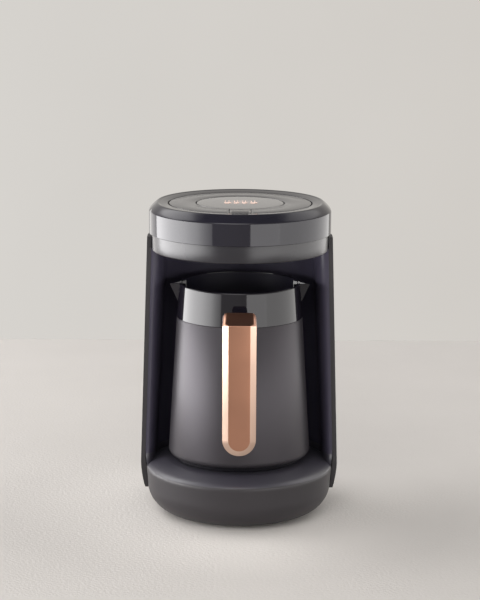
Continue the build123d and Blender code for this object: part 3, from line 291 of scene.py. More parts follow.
def split_place(tree, source):
    """The X, Y and Z of a place."""
    made = node(tree, "ShaderNodeSeparateXYZ")
    tree.links.new(source, made.inputs["Vector"])
    return made.outputs


def both(tree, operation, first, second):
    """Two values multiplied, or the greater of them."""
    made = node(tree, "ShaderNodeMath", operation=operation)
    tree.links.new(first, made.inputs[0])
    tree.links.new(second, made.inputs[1])
    return made.outputs["Value"]


# ---------------------------------------------------------------- materials
def finish(name, tint, roughness, metallic=0.0, coat=0.0, coat_roughness=0.1, specular=0.5,
           mottle=0.05, mottle_scale=45, grain_scale=1400, grain_height=0.00002, grain_strength=0.35,
           rough_spread=0.05):
    """A procedural finish: slight mottling of the colour and sheen over a fine moulded or blasted grain."""
    material = bpy.data.materials.new(name)
    material.use_nodes = True
    tree = material.node_tree
    shader = tree.nodes["Principled BSDF"]
    shader.inputs["Metallic"].default_value = metallic
    shader.inputs["Coat Weight"].default_value = coat
    shader.inputs["Coat Roughness"].default_value = coat_roughness
    shader.inputs["Specular IOR Level"].default_value = specular
    place = object_place(tree)
    clouds = noise(tree, place, mottle_scale, 4)
    dark = [c * (1 - mottle) for c in tint]
    light = [min(1, c * (1 + mottle)) for c in tint]
    tree.links.new(ramped(tree, clouds, 0.3, dark, 0.7, light), shader.inputs["Base Color"])
    sheen = ranged(tree, clouds, 0, 1, least=max(0.02, roughness - rough_spread),
                   most=min(1.0, roughness + rough_spread))
    tree.links.new(sheen, shader.inputs["Roughness"])
    bump = node(tree, "ShaderNodeBump")
    bump.inputs["Strength"].default_value = grain_strength
    bump.inputs["Distance"].default_value = grain_height
    tree.links.new(noise(tree, place, grain_scale, 3), bump.inputs["Height"])
    tree.links.new(bump.outputs["Normal"], shader.inputs["Normal"])
    return material


POLISHED = {"mottle": 0.03, "grain_strength": 0.05, "rough_spread": 0.02}
SMOOTH = {"mottle": 0.03, "grain_strength": 0.1}
ANODISED = {"metallic": 1.0, "coat": 1.0, "coat_roughness": 0.22, "mottle": 0.03, "grain_scale": 3200,
            "grain_height": 0.00001}

matte_base = finish("matte_base_plastic", (0.023, 0.020, 0.0235), 0.46)
satin_deck = finish("satin_deck_plastic", (0.036, 0.0335, 0.045), 0.40, specular=1.0)
matte_shell = finish("matte_shell_plastic", (0.030, 0.0275, 0.030), 0.50, specular=0.4)
gloss_liner = finish("gloss_liner_plastic", (0.054, 0.049, 0.074), 0.34, specular=0.3, grain_strength=0.1)
gloss_band = finish("gloss_band_plastic", (0.011, 0.010, 0.0165), 0.06, specular=0.38, **POLISHED)
satin_ring = finish("satin_ring_plastic", (0.014, 0.013, 0.017), 0.25, specular=0.46, **SMOOTH)
satin_top = finish("satin_top_plastic", (0.036, 0.034, 0.038), 0.22, coat=0.3, coat_roughness=0.16,
                   **SMOOTH)
satin_disc = finish("satin_disc_plastic", (0.048, 0.044, 0.047), 0.20, coat=0.65, coat_roughness=0.14,
                    **SMOOTH)
gloss_collar = finish("gloss_collar_plastic", (0.007, 0.006, 0.009), 0.07, specular=0.37, **POLISHED)
sleeve_paint = finish("satin_metallic_paint", (0.042, 0.038, 0.044), 0.40, metallic=0.5, specular=0.45,
                      mottle=0.04, grain_scale=2600, grain_height=0.00001, grain_strength=0.3)
dark_coating = finish("dark_nonstick_coating", (0.018, 0.016, 0.028), 0.5, mottle=0.1, specular=0.2,
                      grain_scale=1800, grain_strength=0.2)
rose_copper = finish("rose_copper_anodised", (0.425, 0.20, 0.121), 0.30, grain_strength=0.25, **ANODISED)
cut_copper = finish("bright_cut_copper", (0.62, 0.435, 0.34), 0.32, grain_strength=0.2, **ANODISED)
soft_black = finish("soft_black_plastic", (0.005, 0.0045, 0.007), 0.60, specular=0.08)
plain_black = finish("plain_black_plastic", (0.020, 0.020, 0.021), 0.55, grain_strength=0.6)
foot_rubber = finish("foot_rubber", (0.022, 0.022, 0.022), 0.85, mottle=0.12, grain_strength=0.8)
seal_rubber = finish("seal_silicone", (0.030, 0.030, 0.032), 0.6)
turned_metal = finish("turned_hot_plate", (0.33, 0.33, 0.335), 0.36, metallic=1.0, mottle=0.06)
zinc_screw = finish("zinc_screw_steel", (0.52, 0.52, 0.53), 0.30, metallic=1.0, mottle=0.08)
black_screw = finish("black_oxide_screw", (0.016, 0.016, 0.018), 0.42, metallic=0.6)
pressed_steel = finish("pressed_bracket_steel", (0.56, 0.56, 0.57), 0.38, metallic=1.0)
burnt_sheath = finish("heat_darkened_sheath", (0.21, 0.19, 0.17), 0.45, metallic=1.0, mottle=0.2)
board_green = finish("green_solder_mask", (0.018, 0.13, 0.055), 0.4, mottle=0.15, mottle_scale=300)
relay_blue = finish("relay_blue_case", (0.02, 0.07, 0.24), 0.4)
coil_tape = finish("amber_coil_tape", (0.42, 0.26, 0.04), 0.45, mottle=0.15)
capacitor_amber = finish("amber_capacitor_resin", (0.33, 0.13, 0.02), 0.35)
terminal_green = finish("terminal_green_case", (0.02, 0.20, 0.07), 0.5)
chip_black = finish("chip_black_resin", (0.012, 0.012, 0.013), 0.6)
led_white = finish("led_diffuser", (0.85, 0.80, 0.74), 0.3)
guide_clear = finish("clear_light_guide", (0.80, 0.74, 0.70), 0.15, mottle=0.02)
window_tint = finish("tinted_sensor_window", (0.03, 0.008, 0.012), 0.08, coat=0.5)
pad_silicone = finish("grey_pad_silicone", (0.32, 0.32, 0.32), 0.7)
wire_jacket = finish("wire_jacket_pvc", (0.03, 0.03, 0.03), 0.5, mottle=0.1)
icon_light = finish("icon_light", (0.80, 0.58, 0.50), 0.4)


def light_icons():
    """The icons shine evenly."""
    shader = icon_light.node_tree.nodes["Principled BSDF"]
    shader.inputs["Emission Color"].default_value = (1.0, 0.72, 0.60, 1)
    shader.inputs["Emission Strength"].default_value = 0.24


def glow_under_disc():
    """The icons' light spreads into the disc round them and fades out towards its edge."""
    tree = satin_disc.node_tree
    fit = node(tree, "ShaderNodeMapping")
    fit.inputs["Scale"].default_value = (56, 66, 0)
    tree.links.new(object_place(tree), fit.inputs["Vector"])
    spot = node(tree, "ShaderNodeTexGradient", gradient_type="SPHERICAL")
    tree.links.new(fit.outputs["Vector"], spot.inputs["Vector"])
    shader = tree.nodes["Principled BSDF"]
    shader.inputs["Emission Color"].default_value = (1.0, 0.66, 0.56, 1)
    level = ranged(tree, spot.outputs["Fac"], 0, 1, most=0.20, smooth=True)
    tree.links.new(level, shader.inputs["Emission Strength"])


light_icons()
glow_under_disc()

CARRIED = {
    "base_tub": matte_base, "bottom_plate": plain_black, "rubber_feet": foot_rubber,
    "bottom_screws": zinc_screw, "base_deck": satin_deck, "hot_plate": turned_metal,
    "hot_plate_seal": seal_rubber, "heating_element": burnt_sheath, "heater_bracket": pressed_steel,
    "bracket_screws": zinc_screw, "thermal_cutout": pressed_steel, "temperature_probe": pressed_steel,
    "power_board": board_green, "board_screws": zinc_screw, "heater_relay": relay_blue,
    "transformer": coil_tape, "filter_capacitor": capacitor_amber, "terminal_block": terminal_green,
    "rear_shell": matte_shell, "shell_screws": black_screw, "niche_liner": gloss_liner,
    "wire_harness": wire_jacket, "cord_gland": foot_rubber, "head_lower_ring": satin_ring,
    "head_floor": gloss_liner, "head_screws": black_screw, "sensor_window": window_tint,
    "foam_sensor": chip_black, "head_bezel": gloss_band, "top_plate": satin_top, "cup_button": satin_disc,
    "icon_light_guide": guide_clear, "power_button": satin_top, "cup_button_pad": pad_silicone,
    "power_button_pad": pad_silicone, "control_board": board_green, "cup_leds": led_white,
    "control_chip": chip_black, "buzzer": chip_black, "pot_sleeve": sleeve_paint,
    "pot_vessel": dark_coating, "pot_base_disc": turned_metal, "pot_foot": soft_black,
    "pot_gasket": seal_rubber, "pot_collar": gloss_collar, "handle_cover": rose_copper,
    "handle_core": soft_black, "handle_screws": zinc_screw,
}


def dress(piece, material):
    """Gives the piece this material alone."""
    piece.data.materials.clear()
    piece.data.materials.append(material)


for part, material in CARRIED.items():
    dress(frame["nodes"][part], material)


def place_piece(piece, body, material, slot, *nodes):
    """Gives a finished piece its material and body, and hides the solids it stands for. The record slot is
    not used.
    """
    dress(piece, material)
    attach(piece, body)
    if nodes:
        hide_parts(*nodes)


# ---------------------------------------------------------------- base
BOWL_WALL = 2.4
FOOT_R, FOOT_Z = 46.5, 1.2                   # inner edge of the bowl's flat foot
BOWL_CURVE_R, BOWL_CURVE_Z = 50.0, 23.0      # middle of the curve of its side
BOWL_REACH, BOWL_DROP = 23.0, 21.8           # how far that curve goes outwards and down from there


def bowl_curve(inset, steps):
    """The bowl's side from its flat foot upwards, a quarter of an ellipse made smaller by inset."""
    reach, drop = BOWL_REACH - inset, BOWL_DROP - inset
    turns = [math.radians(90 * i / steps) for i in range(steps + 1)]
    return [(BOWL_CURVE_R + reach * math.sin(t), BOWL_CURVE_Z - drop * math.cos(t)) for t in turns]


bowl_side = [(FOOT_R, FOOT_Z)] + bowl_curve(0, 18)
bowl_lip = [(73.85, 33.0), (74.0, 34.6), (73.95, 35.8), (73.78, 36.6), (73.55, 37.0), (71.8, 37.0)]
bowl_inside = bowl_curve(BOWL_WALL, 10)[::-1] + [(FOOT_R, FOOT_Z + BOWL_WALL)]
bowl = turned("bowl", bowl_side + bowl_lip + bowl_inside, stretch=True)
place_piece(soften(bowl, 0.0, smooth=50), "housing", matte_base, "bowl_plastic", "base_tub")

deck_top = [(34.55, DECK_Z), (56.5, DECK_Z), (58.5, 43.2), (61.0, 42.55), (65.0, 41.3), (69.0, 39.9),
            (71.0, 39.1), (72.3, 38.35), (73.1, 37.7), (73.52, 37.03)]
deck_under = [(71.6, 37.03), (70.2, 36.6), (58.0, DECK_UNDER_Z), (34.55, DECK_UNDER_Z)]
deck = turned("deck", deck_top + deck_under, stretch=outside(50))
place_piece(soften(deck, 0.0, smooth=40), "housing", satin_deck, "deck_plastic", "base_deck")

HOT_Z = 43.72
GROOVE_RS, GROOVE_HALF, GROOVE_DEPTH = (6.5, 14.5, 22.5), 0.5, 0.1
hot_face = [(0, HOT_Z)]
for r in GROOVE_RS:
    hot_face += [(r - GROOVE_HALF, HOT_Z), (r, HOT_Z - GROOVE_DEPTH), (r + GROOVE_HALF, HOT_Z)]
hot_edge = [(30.5, HOT_Z), (31.5, 43.8), (32.7, 43.8), (33.0, DECK_Z), (33.0, DECK_UNDER_Z),
            (36.0, DECK_UNDER_Z), (36.0, 38.5), (0, 38.5)]
hot_plate = turned("hot_plate_face", hot_face + hot_edge)
place_piece(soften(hot_plate, 0.0, smooth=30), "housing", turned_metal, "hot_metal", "hot_plate")

# ---------------------------------------------------------------- column
SHELL_TOP_R, SHELL_KNEE_R = 73.15, 78.7
# radius of the shell's inside at the knee, and how much narrower it gets per mm of height
SHELL_INSIDE_R, SHELL_INSIDE_LEAN = 75.2, 5.6 / 185.0
SHELL_SCREW_ZS, SHELL_SCREW_X = (72.0, 186.0), 26.0
WELL_R, WELL_DEPTH, WELL_WALL = 3.2, 12.0, 1.4
WELL_ROWS = (8.0, 3.8, -3.8, -8.0)
CORD_WAY_R, CORD_WAY_LENGTH, CORD_WAY_MIDDLE = 6.5, 40.0, (0, 85, 27)


def shell_radius(z):
    """The shell's outer radius between its knee and its top."""
    return SHELL_TOP_R + (SHELL_KNEE_R - SHELL_TOP_R) * (SHELL_TOP_Z - z) / (SHELL_TOP_Z - SHELL_KNEE_Z)


def well_seat_y(x, z):
    """How far back a screw's head is seated, with a little of the shell's wall left in front of it."""
    inside = SHELL_INSIDE_R - SHELL_INSIDE_LEAN * (z - SHELL_KNEE_Z)
    return STRETCH + math.sqrt(inside * inside - x * x) + WELL_WALL


# short rows of faces above and below each screw well keep the long wall's shading even
well_rows = [z + step for z in reversed(SHELL_SCREW_ZS) for step in WELL_ROWS]
shell_out = [(SHELL_TOP_R, SHELL_TOP_Z)] + [(shell_radius(z), z) for z in well_rows]
shell_foot = [(SHELL_KNEE_R, SHELL_KNEE_Z), (78.45, 33.5), (77.9, 29.0), (77.1, 24.5), (76.3, 20.6),
              (75.4, 17.5)]
shell_in = [(72.65, 17.5), (73.5, 24.0), (74.2, 31.0), (74.45, 37.0), (75.1, 41.0), (69.65, SHELL_TOP_Z)]
shell = rear_turned("column_shell", shell_out + shell_foot + shell_in, steps=128)
for z in SHELL_SCREW_ZS:
    for x in (-SHELL_SCREW_X, SHELL_SCREW_X):
        well_middle = (x, well_seat_y(x, z) + WELL_DEPTH / 2, z)
        combine(shell, rod("screw_well", WELL_R, WELL_DEPTH, well_middle, 40), "DIFFERENCE")
combine(shell, rod("cord_way", CORD_WAY_R, CORD_WAY_LENGTH, CORD_WAY_MIDDLE, 48), "DIFFERENCE")
place_piece(soften(shell, 0.35, 3, angle=50), "housing", matte_shell, "shell_plastic", "rear_shell")

# radius at z = 0 and how much narrower it gets per mm of height, for the wall's outside and for the niche
LINER_R, LINER_LEAN = 76.28, 0.0305
NICHE_R, NICHE_LEAN = 72.5, 0.0458
CHEEK_DEPTH = 20.0      # how far past the straight run the rounded cheeks go
TIP_DRAW = 0.25         # how much the tips close in for each mm that they come forward
CHEEK_STEPS, NICHE_STEPS, REAR_STEPS = 14, 64, 96


def liner_outline(z, front):
    """The niche wall at one height: a U with cheeks that start at front and are rounded into the niche."""
    outer, wide = LINER_R - LINER_LEAN * z, NICHE_R - NICHE_LEAN * z
    deep = wide - STRETCH
    start = math.asin(CHEEK_DEPTH / deep)
    side, depth = wide * math.cos(start), STRETCH + CHEEK_DEPTH
    tip = outer + TIP_DRAW * front
    cheek = []
    for i in range(CHEEK_STEPS + 1):
        turn = math.radians(90 * i / CHEEK_STEPS)
        inwards, back = math.sin(turn), (1 - math.cos(turn)) ** 1.4
        cheek.append((tip - (tip - side) * inwards, front + (depth - front) * back))
    turns = [start + (math.pi - 2 * start) * i / NICHE_STEPS for i in range(1, NICHE_STEPS)]
    niche = [(wide * math.cos(t), STRETCH + deep * math.sin(t)) for t in turns]
    other_cheek = [(-x, y) for x, y in reversed(cheek)]
    turns = [math.pi * i / REAR_STEPS for i in range(REAR_STEPS, -1, -1)]
    rear = [(outer * math.cos(t), STRETCH + outer * math.sin(t)) for t in turns]
    return [(x, y, z) for x, y in cheek + niche + other_cheek + rear]


# height and front edge of the cheeks: their foot sweeps forward onto the deck
LINER_LEVELS = [(37.3, -9.0), (38.3, -6.6), (39.8, -4.2), (42.2, -2.1), (45.4, -0.7), (49.5, 0.0),
                (212.2, 0.0)]
liner = open_piece("niche_wall")
for z, front in LINER_LEVELS:
    draw(liner_outline(z, front), closed=True)
heights = [z for z, front in LINER_LEVELS]
for below, above in zip(heights, heights[1:]):
    select_points(liner, lambda x, y, z: below - NEAR < z < above + NEAR)
    bpy.ops.mesh.bridge_edge_loops()
for level in (heights[0], heights[-1]):
    select_points(liner, lambda x, y, z: abs(z - level) < NEAR)
    bpy.ops.mesh.edge_face_add()
close_piece(liner)
place_piece(soften(liner, 0.0, smooth=35), "housing", gloss_liner, "liner_plastic", "niche_liner")
liner.data.materials.append(satin_deck)
for face in liner.data.polygons:
    face.material_index = 1 if face.center.z < (DECK_Z + 0.5) * MM else 0

# ---------------------------------------------------------------- head
ring_profile = [(69.3, 212.5), (69.3, BAND_SPLIT_Z), (66.9, BAND_SPLIT_Z), (66.9, 214.2),
                (64.7, 214.2), (64.7, HEAD_LOW_Z), (68.6, HEAD_LOW_Z)]
lower_ring = turned("lower_band", ring_profile, stretch=True)
place_piece(soften(lower_ring, 0.35, 3, angle=35), "housing", satin_ring, "ring_plastic", "head_lower_ring")

bezel_side = [(69.2, BAND_SPLIT_Z), (71.3, BAND_SPLIT_Z), (71.6, 225.9), (71.6, 242.5)]
bezel_chamfer = [(71.5, 243.0), (71.1, 243.7), (69.95, 245.05), (68.65, 246.45), (67.3, 247.7)]
bezel_rim = [(66.3, 248.5), (65.5, 249.05), (64.7, 249.3), (64.2, 249.2), (63.2, 248.85), (62.4, TOP_Z)]
bezel_inside = [(56.8, TOP_Z), (56.8, LEDGE_Z), (64.2, LEDGE_Z), (69.2, 241.8)]
bezel = turned("upper_band", bezel_side + bezel_chamfer + bezel_rim + bezel_inside, stretch=outside(58))
place_piece(soften(bezel, 0.25, 2, angle=40), "housing", gloss_band, "bezel_plastic", "head_bezel")


def key_sides(name, half):
    """A block as wide as the power key, or its slot, and well past it to the other sides."""
    return block(name, (-half, -70, 240), (half, -30, 255))


PLATE_RIM_R = 55.7
plate_profile = [(35.0, 244.8), (35.0, TOP_Z), (PLATE_RIM_R, TOP_Z), (PLATE_RIM_R, LEDGE_Z),
                 (59.1, LEDGE_Z), (59.1, 244.8)]
plate = turned("control_plate", plate_profile)
combine(plate, key_sides("button_slot", 8.6), "DIFFERENCE")
place_piece(soften(plate, 0.22, 2, angle=50), "housing", satin_top, "top_plastic", "top_plate")

disc_dome = [(0, 249.2), (8, 249.17), (16, 249.09), (24, 248.95), (30, 248.8), (33.4, 248.69),
             (33.9, 248.6), (34.15, 248.35), (34.2, 248.0)]
disc_skirt = [(34.2, LEDGE_Z), (33.2, LEDGE_Z), (33.2, 242.3), (31.6, 242.3), (31.6, LEDGE_Z), (0, LEDGE_Z)]
cup_disc = turned("cup_disc", disc_dome + disc_skirt)
place_piece(soften(cup_disc, 0.0), "cup_button", satin_disc, "button_gloss", "cup_button")

power = turned("power_key", [(35.5, 246.1), (35.5, TOP_Z), (PLATE_RIM_R, TOP_Z), (PLATE_RIM_R, 246.1)])
combine(power, key_sides("key_sides", 8.1), "INTERSECT")
combine(power, block("key_ridge", (-6.4, -47.7, TOP_Z - 0.2), (6.4, -46.7, TOP_Z + 0.22)), "UNION")
place_piece(soften(power, 0.2, 2, angle=50), "power_button", satin_top, "button_gloss", "power_button")

# ---------------------------------------------------------------- pot
sleeve_seam = [(48.2, 158.25), (49.55, 158.25), (49.8, 157.9)]
sleeve_foot = [(56.2, 52.0), (56.15, 51.0), (55.9, 50.0), (55.4, 49.0), (54.6, 48.2), (53.7, 47.75),
               (53.2, 47.6)]
sleeve_inside = [(52.4, 47.6), (53.6, 50.0), (54.6, 52.2)]
sleeve = turned("pot_body", sleeve_seam + sleeve_foot + sleeve_inside)
place_piece(soften(sleeve, 0.0, smooth=40), "pot", sleeve_paint, "sleeve_paint", "pot_sleeve")

BEAK_ROOT = 42.4      # inside the collar's wall, so that a beak always meets it


def beak(side, reach, half, keel, top, droop=0.0):
    """A pouring beak with a keel: a flat triangle, its tip lowered by droop, drawn down to its root."""
    piece = open_piece("beak")
    root = side * BEAK_ROOT
    draw([(root, -half, top), (root, half, top), (side * reach, 0, top - droop)], filled=True)
    bpy.ops.mesh.select_mode(type="FACE")
    bpy.ops.mesh.select_all(action="SELECT")
    bpy.ops.mesh.extrude_region_move(TRANSFORM_OT_translate={"value": (0, 0, -0.001)})
    bpy.ops.mesh.merge(type="CENTER")
    shape = bmesh.from_edit_mesh(piece.data)
    low = min(shape.verts, key=lambda v: v.co.z)
    target = Vector((root * MM, 0, keel * MM)) - low.co
    bpy.ops.mesh.select_all(action="DESELECT")
    low.select_set(True)
    bmesh.update_edit_mesh(piece.data)
    bpy.ops.transform.translate(value=target)
    return close_piece(piece)


def beak_hollow(side):
    """What is cut out of a beak, and of the wall behind it."""
    return beak(side, reach=53.2, half=7.4, keel=159.5, top=RIM_Z + 1.0)


collar_wall = [(48.0, SEAM_Z), (49.5, SEAM_Z), (49.8, 158.6), (48.05, 183.9)]
collar_rim = [(47.92, 184.6), (47.65, 185.1), (47.25, 185.36), (46.75, RIM_Z), (46.5, 185.3),
              (46.45, 185.1)]
collar = turned("pour_collar", collar_wall + collar_rim)
for side in (1, -1):
    lip = beak(side, reach=55.4, half=9.0, keel=155.6, top=RIM_Z - 0.05, droop=1.3)
    combine(collar, lip, "UNION")
    combine(collar, beak_hollow(side), "DIFFERENCE")
place_piece(soften(collar, 0.12, 2, angle=50, smooth=30), "pot", gloss_collar, "collar_gloss", "pot_collar")

vessel_inside = [(0, 48.9), (44.2, 48.9), (46.8, 49.7), (48.6, 51.4), (49.2, 53.9), (45.6, 184.5),
                 (45.75, 184.95), (46.4, 185.0)]
vessel_outside = [(50.0, 53.1), (48.6, 49.6), (45.0, 48.1), (0, 48.1)]
vessel = turned("pot_inside", vessel_inside + vessel_outside)
for side in (1, -1):
    combine(vessel, beak_hollow(side), "DIFFERENCE")
place_piece(soften(vessel, 0.0, smooth=40), "pot", dark_coating, "vessel_coating", "pot_vessel")

# ---------------------------------------------------------------- handle
HANDLE_FOOT_Z = 79.1
HANDLE_FRONT_Y, HANDLE_EDGE_Y = -88.5, -85.5
# front facet, shoulder, back edge, lip and floor of the hollow back: half width, depth, top, corner
HANDLE_LOOPS = [(8.2, HANDLE_FRONT_Y, 168.1, 0.4), (12.9, HANDLE_EDGE_Y, 169.1, 3.0),
                (12.9, -76.5, 176.1, 4.4), (11.6, -76.7, 174.6, 3.2), (11.6, -83.6, 168.9, 2.2)]


def bar_outline(half, y, top, corner):
    """The bar's outline at one depth: round at the foot, two rounded corners at the top."""
    points = arc(0, HANDLE_FOOT_Z, half, 180, 360, 32)
    points += arc(half - corner, top - corner, corner, 0, 90, 7)
    points += arc(corner - half, top - corner, corner, 90, 180, 7)
    return [(x, y, z) for x, z in points]


handle = open_piece("handle_bar")
for half, y, top, corner in HANDLE_LOOPS:
    draw(bar_outline(half, y, top, corner), closed=True)
levels = [y for half, y, top, corner in HANDLE_LOOPS]
for pair in zip(levels, levels[1:]):
    select_points(handle, lambda x, y, z: min(abs(y - level) for level in pair) < NEAR)
    bpy.ops.mesh.bridge_edge_loops()
for level in (levels[0], levels[-1]):
    select_points(handle, lambda x, y, z: abs(y - level) < NEAR)
    bpy.ops.mesh.edge_face_add()
close_piece(handle)
soften(handle, 0.3, 3, angle=20, smooth=30)
place_piece(handle, "pot", rose_copper, "handle_copper", "handle_cover")
handle.data.materials.append(cut_copper)
for face in handle.data.polygons:
    between = HANDLE_FRONT_Y + 0.1 < face.center.y / MM < HANDLE_EDGE_Y - 0.1
    slanted = -0.95 < face.normal.y < -0.7 and face.normal.z < 0.5
    face.material_index = 1 if between and slanted else 0

# ---------------------------------------------------------------- cup icons on the disc
ICON_Z, ICON_T = 249.21, 0.05


def icon_cup(index, x, width):
    """A small cup seen from the side with two strokes of steam over it, as a thin inlay."""
    half, low, waist, rim = width * 0.5, -8.0, -5.6, -1.6
    bowl_of_cup = [(x - half, rim), (x - half * 0.86, waist), (x - half * 0.45, low),
                   (x + half * 0.45, low), (x + half * 0.86, waist), (x + half, rim)]
    strokes = [bowl_of_cup]
    for lean in (-0.32, 0.32):
        foot = x + lean * width
        strokes.append([(foot - 0.35, -0.4), (foot + 0.1, -0.4), (foot + 0.6, 2.6), (foot + 0.1, 5.4),
                        (foot + 0.5, 8.0), (foot + 0.05, 8.0), (foot - 0.4, 5.4), (foot + 0.1, 2.6)])
    piece = open_piece(f"cup_icon_{index}")
    for stroke in strokes:
        draw([(a, b, ICON_Z) for a, b in stroke], filled=True)
    bpy.ops.mesh.select_all(action="SELECT")
    bpy.ops.mesh.extrude_region_move(TRANSFORM_OT_translate={"value": (0, 0, ICON_T * MM)})
    bpy.ops.mesh.select_all(action="DESELECT")
    ear = ((x + half * 1.05) * MM, -3.6 * MM, (ICON_Z + ICON_T / 2) * MM)
    bpy.ops.mesh.primitive_torus_add(location=ear, major_segments=20, minor_segments=6,
                                     major_radius=width * 0.24 * MM, minor_radius=width * 0.06 * MM)
    return close_piece(piece)


for index, (x, width) in enumerate(((-10.4, 4.4), (-3.4, 3.4), (3.0, 3.4), (10.0, 4.4))):
    place_piece(icon_cup(index, x, width), "cup_button", icon_light, "light_guide")


# ---------------------------------------------------------------- stage
def plaster():
    """Pale plaster, with painted light close to the object that softens its shadow there, and painted shade
    towards the strong lamp on the left.
    """
    material = finish("pale_plaster_floor", (0.640, 0.612, 0.582), 0.85, mottle=0.02, mottle_scale=7,
                      grain_scale=420, grain_height=0.0006, grain_strength=0.5, specular=0.08)
    tree = material.node_tree
    colour = tree.nodes["Principled BSDF"].inputs["Base Color"]
    place = object_place(tree)
    # painted shade: the floor is darkened towards the strong lamp on the left, so that it doesn't turn
    # white there
    painted_shade_share = ranged(tree, split_place(tree, place)["X"], -0.3, -0.95, most=0.75, smooth=True)
    painted_shade_colour = mixed(tree, painted_shade_share, colour.links[0].from_socket, (0.18, 0.172, 0.163))
    # painted light: the floor is lightened close to the object, which softens the object's shadow on it
    distance = node(tree, "ShaderNodeVectorMath", operation="LENGTH")
    tree.links.new(place, distance.inputs[0])
    painted_light_share = ranged(tree, distance.outputs["Value"], 0.19, 0.085, smooth=True)
    tree.links.new(mixed(tree, painted_light_share, painted_shade_colour, (0.765, 0.732, 0.695)), colour)
    return material


FLOOR_SIZE, FLOOR_CUT = 1.8, 0.254      # the floor ends that much sooner behind the object
floor = open_piece("floor")
bpy.ops.mesh.primitive_plane_add(size=FLOOR_SIZE, location=(0, 0, 0))
select_points(floor, lambda x, y, z: y > 0)
bpy.ops.transform.translate(value=(0, -FLOOR_CUT, 0))
close_piece(floor)
dress(floor, plaster())


# ---------------------------------------------------------------- light
def faded(tree, axis, stops):
    """A curve through (place, share) stops, read along one axis of the lamp."""
    curve = node(tree, "ShaderNodeFloatCurve")
    points = curve.mapping.curves[0].points
    for place, share in stops[1:-1]:
        points.new(place, share)
    points[0].location, points[-1].location = stops[0], stops[-1]
    curve.mapping.update()
    tree.links.new(axis, curve.inputs["Value"])
    return curve.outputs["Value"]


def softbox(name, place, aim, size, radiance, tint, along=None, across=None):
    """A flat soft lamp of the given radiance; along and across fade it over its length and its height."""
    data = bpy.data.lights.new(name, "AREA")
    data.shape = "RECTANGLE"
    data.size, data.size_y = size
    data.energy = radiance * math.pi * size[0] * size[1]
    data.color = tint
    if along:
        data.use_nodes = True
        tree = data.node_tree
        on_lamp = split_place(tree, node(tree, "ShaderNodeNewGeometry").outputs["Parametric"])
        strength = faded(tree, on_lamp["X"], along)
        if across:
            strength = both(tree, "MULTIPLY", strength, faded(tree, on_lamp["Y"], across))
        tree.links.new(strength, tree.nodes["Emission"].inputs["Strength"])
    lamp = bpy.data.objects.new(name, data)
    bpy.context.scene.collection.objects.link(lamp)
    lamp.location = place
    lamp.rotation_euler = (Vector(aim) - Vector(place)).to_track_quat("-Z", "Y").to_euler()
    lamp.visible_camera = False


STRIP_Z = 0.065
LEFT_FADE = [(0, 0.5), (0.37, 0.95), (0.61, 0.70), (0.82, 0.32), (1, 0.15)]
RIGHT_FADE = [(0, 1.0), (1, 0.58)]
SOFT_EDGE = [(0, 0), (0.14, 0.25), (0.36, 1), (0.64, 1), (0.86, 0.25), (1, 0)]
softbox("left_strip", (-2.0, -0.67, STRIP_Z), (0, -0.67, STRIP_Z), (4.53, 1.13), 10.6, (1.0, 0.99, 0.995),
        along=LEFT_FADE)
softbox("left_rear_strip", (-1.55, 2.2, 0.08), (0, 0, 0.08), (1.4, 1.0), 1.25, (1.0, 0.98, 0.96))
softbox("right_strip", (2.0, 0.8, STRIP_Z), (0, 0.8, STRIP_Z), (5.07, 1.13), 2.85, (1.0, 0.985, 0.97),
        along=RIGHT_FADE)
softbox("right_front_strip", (1.3, -2.167, STRIP_Z), (0, 0, STRIP_Z), (1.67, 1.13), 3.2, (1.0, 0.985, 0.98))
softbox("left_high", (-1.1, 0.55, 1.35), (0, 0, 0.2), (2.4, 1.5), 3.0, (1.0, 0.99, 0.99),
        along=SOFT_EDGE, across=SOFT_EDGE)
softbox("right_high", (1.1, 0.55, 1.35), (0, 0, 0.2), (2.4, 1.5), 1.25, (1.0, 0.98, 0.97),
        along=SOFT_EDGE, across=SOFT_EDGE)
softbox("front_key", (-0.45, -2.2, 1.75), (0, 0, 0.1), (3.2, 2.1), 2.7, (1.0, 0.99, 0.98),
        along=SOFT_EDGE, across=SOFT_EDGE)


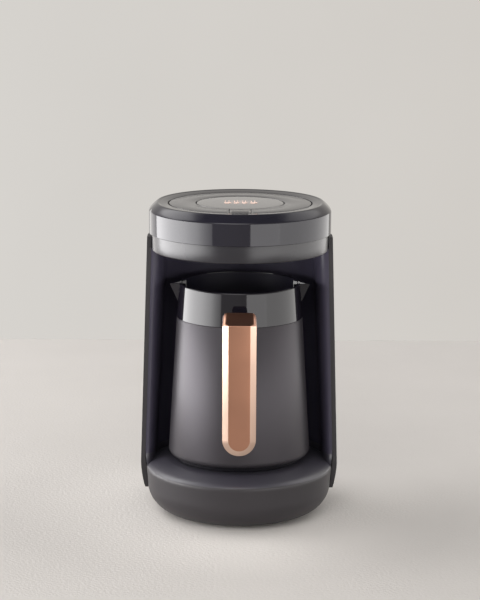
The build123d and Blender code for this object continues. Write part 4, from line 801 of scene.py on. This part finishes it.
def studio_room(tree):
    """A pale room: the camera and reflections see its wall and ceiling, and surfaces get a dimmer light."""
    direction = node(tree, "ShaderNodeTexCoord").outputs["Generated"]
    axes = split_place(tree, direction)
    across, upwards = axes["X"], axes["Z"]
    # painted light on the wall seen behind the object: lighter towards the left and darker towards the
    # right
    wall = mixed(tree, ranged(tree, across, -0.12, 0.12), (0.685, 0.662, 0.628), (0.640, 0.612, 0.575))
    mist = ramped(tree, noise(tree, direction, 6.0, 6), 0.25, (0.965,) * 3, 0.75, (1.02,) * 3)
    wall = mixed(tree, 1.0, wall, mist, "MULTIPLY")
    seen = mixed(tree, ranged(tree, upwards, 0.45, 0.85, smooth=True), wall, (0.24, 0.24, 0.252))
    cast = mixed(tree, ranged(tree, upwards, 0.05, 0.8), (0.48, 0.475, 0.468), (0.245, 0.242, 0.239))
    backdrop = tree.nodes["Background"]
    ambient = node(tree, "ShaderNodeBackground")
    tree.links.new(seen, backdrop.inputs["Color"])
    tree.links.new(cast, ambient.inputs["Color"])
    rays = node(tree, "ShaderNodeLightPath").outputs
    direct = both(tree, "MAXIMUM", rays["Is Camera Ray"], rays["Is Glossy Ray"])
    direct = both(tree, "MAXIMUM", direct, rays["Is Transmission Ray"])
    either = node(tree, "ShaderNodeMixShader")
    tree.links.new(direct, either.inputs["Fac"])
    tree.links.new(ambient.outputs["Background"], either.inputs[1])
    tree.links.new(backdrop.outputs["Background"], either.inputs[2])
    tree.links.new(either.outputs["Shader"], tree.nodes["World Output"].inputs["Surface"])


studio = bpy.data.worlds.new("studio")
bpy.context.scene.world = studio
studio.use_nodes = True
studio_room(studio.node_tree)

# ---------------------------------------------------------------- camera
PITCH, ROLL = 11.04, 0.28
lens = bpy.data.cameras.new("camera")
camera = bpy.data.objects.new("camera", lens)
bpy.context.scene.collection.objects.link(camera)
camera.location = (0, -1.677, 0.4981)
looking = Euler((math.radians(90 - PITCH), 0, 0)).to_quaternion()
camera.rotation_euler = (looking @ Quaternion((0, 0, 1), math.radians(ROLL))).to_euler()
lens.sensor_fit = "VERTICAL"
lens.sensor_height = 36
lens.lens = 129.5
lens.shift_x = 0.0005
lens.clip_end = 50
bpy.context.scene.camera = camera

bpy.context.scene.view_settings.view_transform = "Standard"
